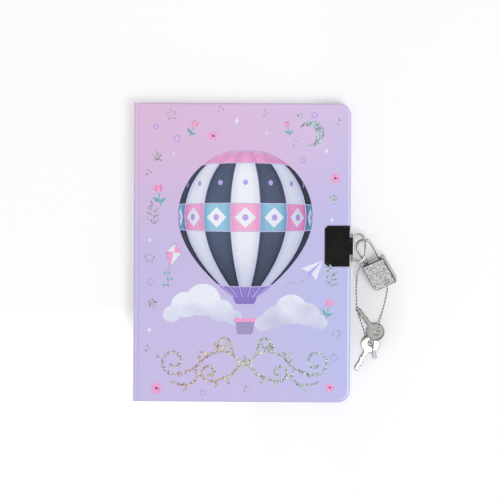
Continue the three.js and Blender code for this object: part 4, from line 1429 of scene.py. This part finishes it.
# Painted shadow: a soft grey patch on the table beside the lock and keys.
from_lock = (((table_x - 76) / 26) ** 2 + ((table_y + 38) / 29) ** 2) ** 0.5
painted_shadow_by_lock = 1 - from_lock.rising(0.3, 1.7)
table_tone = laminate.mix(right_side, colour(184, 184, 186), colour(240, 240, 242))
laminate.feed(Base_Color=laminate.mix(painted_shadow_by_lock, table_tone, colour(219, 219, 221)))
rays = laminate.node("ShaderNodeLightPath").socket.node.outputs
seen_ray = Value(rays["Is Camera Ray"]).largest(Value(rays["Is Glossy Ray"]))
# Painted light: the table glows for camera and mirror rays, evenly to make it white, more at the lower left, where
# it washes out the cover's shadow, and less on the right, where its shadows show deeper.
painted_floor_glow = seen_ray * (0.52 - 0.4 * right_side + 0.3 * lower_left)
laminate.feed(Emission_Color=laminate.node("ShaderNodeCombineXYZ", sockets={0: painted_floor_glow, 1: painted_floor_glow, 2: painted_floor_glow}))
table.data.materials.append(laminate.material)

for name, place, aim, size, power, tint in (
    ("main lamp", (0.6, -0.36, 1.9), (0, 0, 0), (0.8, 0.8), 19.2, (1.0, 0.99, 0.98)),
    ("white card", (0.02, -0.46, 2.6), (0, 0, 0), (1.0, 0.5), 3.6, (1.0, 1.0, 1.0)),
):
    lamp = bpy.data.objects.new(name, bpy.data.lights.new(name, "AREA"))
    lamp.data.shape = "RECTANGLE"
    lamp.data.size, lamp.data.size_y = size
    lamp.data.energy = power
    lamp.data.color = tint
    lamp.location = place
    lamp.rotation_euler = (Vector(aim) - Vector(place)).to_track_quat("-Z", "Y").to_euler()
    lamp.visible_glossy = name == "white card"
    bpy.context.scene.collection.objects.link(lamp)

world = bpy.data.worlds.new("studio")
bpy.context.scene.world = world
world.use_nodes = True
nodes = world.node_tree.nodes
background = nodes["Background"]
direction = Value(nodes.new("ShaderNodeTexCoord").outputs["Generated"])
split = nodes.new("ShaderNodeSeparateXYZ")
plug_in(split.inputs[0], direction)
height = Value(split.outputs[2])
from_top = height.smallest(1).largest(-1)
from_top = from_top.maths("ARCCOSINE", from_top) * (180 / math.pi)
walls = 0.012 + 0.43 * from_top.rising(3.5, 11) - 0.12 * from_top.rising(14, 24) - 0.3 * from_top.rising(48, 72)
for way, inner, outer, strength in (
    ((0.6, -0.36, 1.9), 0.992, 0.978, 3.2),
    ((-0.11, 0.177, 1), 0.9975, 0.988, 0.22),
    ((0.86, -0.5, 0), 0.7, 0.2, 0.85),
):
    toward = nodes.new("ShaderNodeVectorMath")
    toward.operation = "DOT_PRODUCT"
    plug_in(toward.inputs[0], direction)
    toward.inputs[1].default_value = Vector(way).normalized()
    walls = walls + strength * Value(toward.outputs["Value"]).rising(outer, inner)
path = nodes.new("ShaderNodeLightPath").outputs
seen = Value(path["Is Camera Ray"])
mirrored_ray = Value(path["Is Glossy Ray"])
fill = 0.52
plug_in(background.inputs["Strength"], seen + (1 - seen) * (walls * mirrored_ray + fill * (1 - mirrored_ray)))
background.inputs["Color"].default_value = (1, 1, 1, 1)

bpy.context.scene.view_settings.view_transform = "Standard"
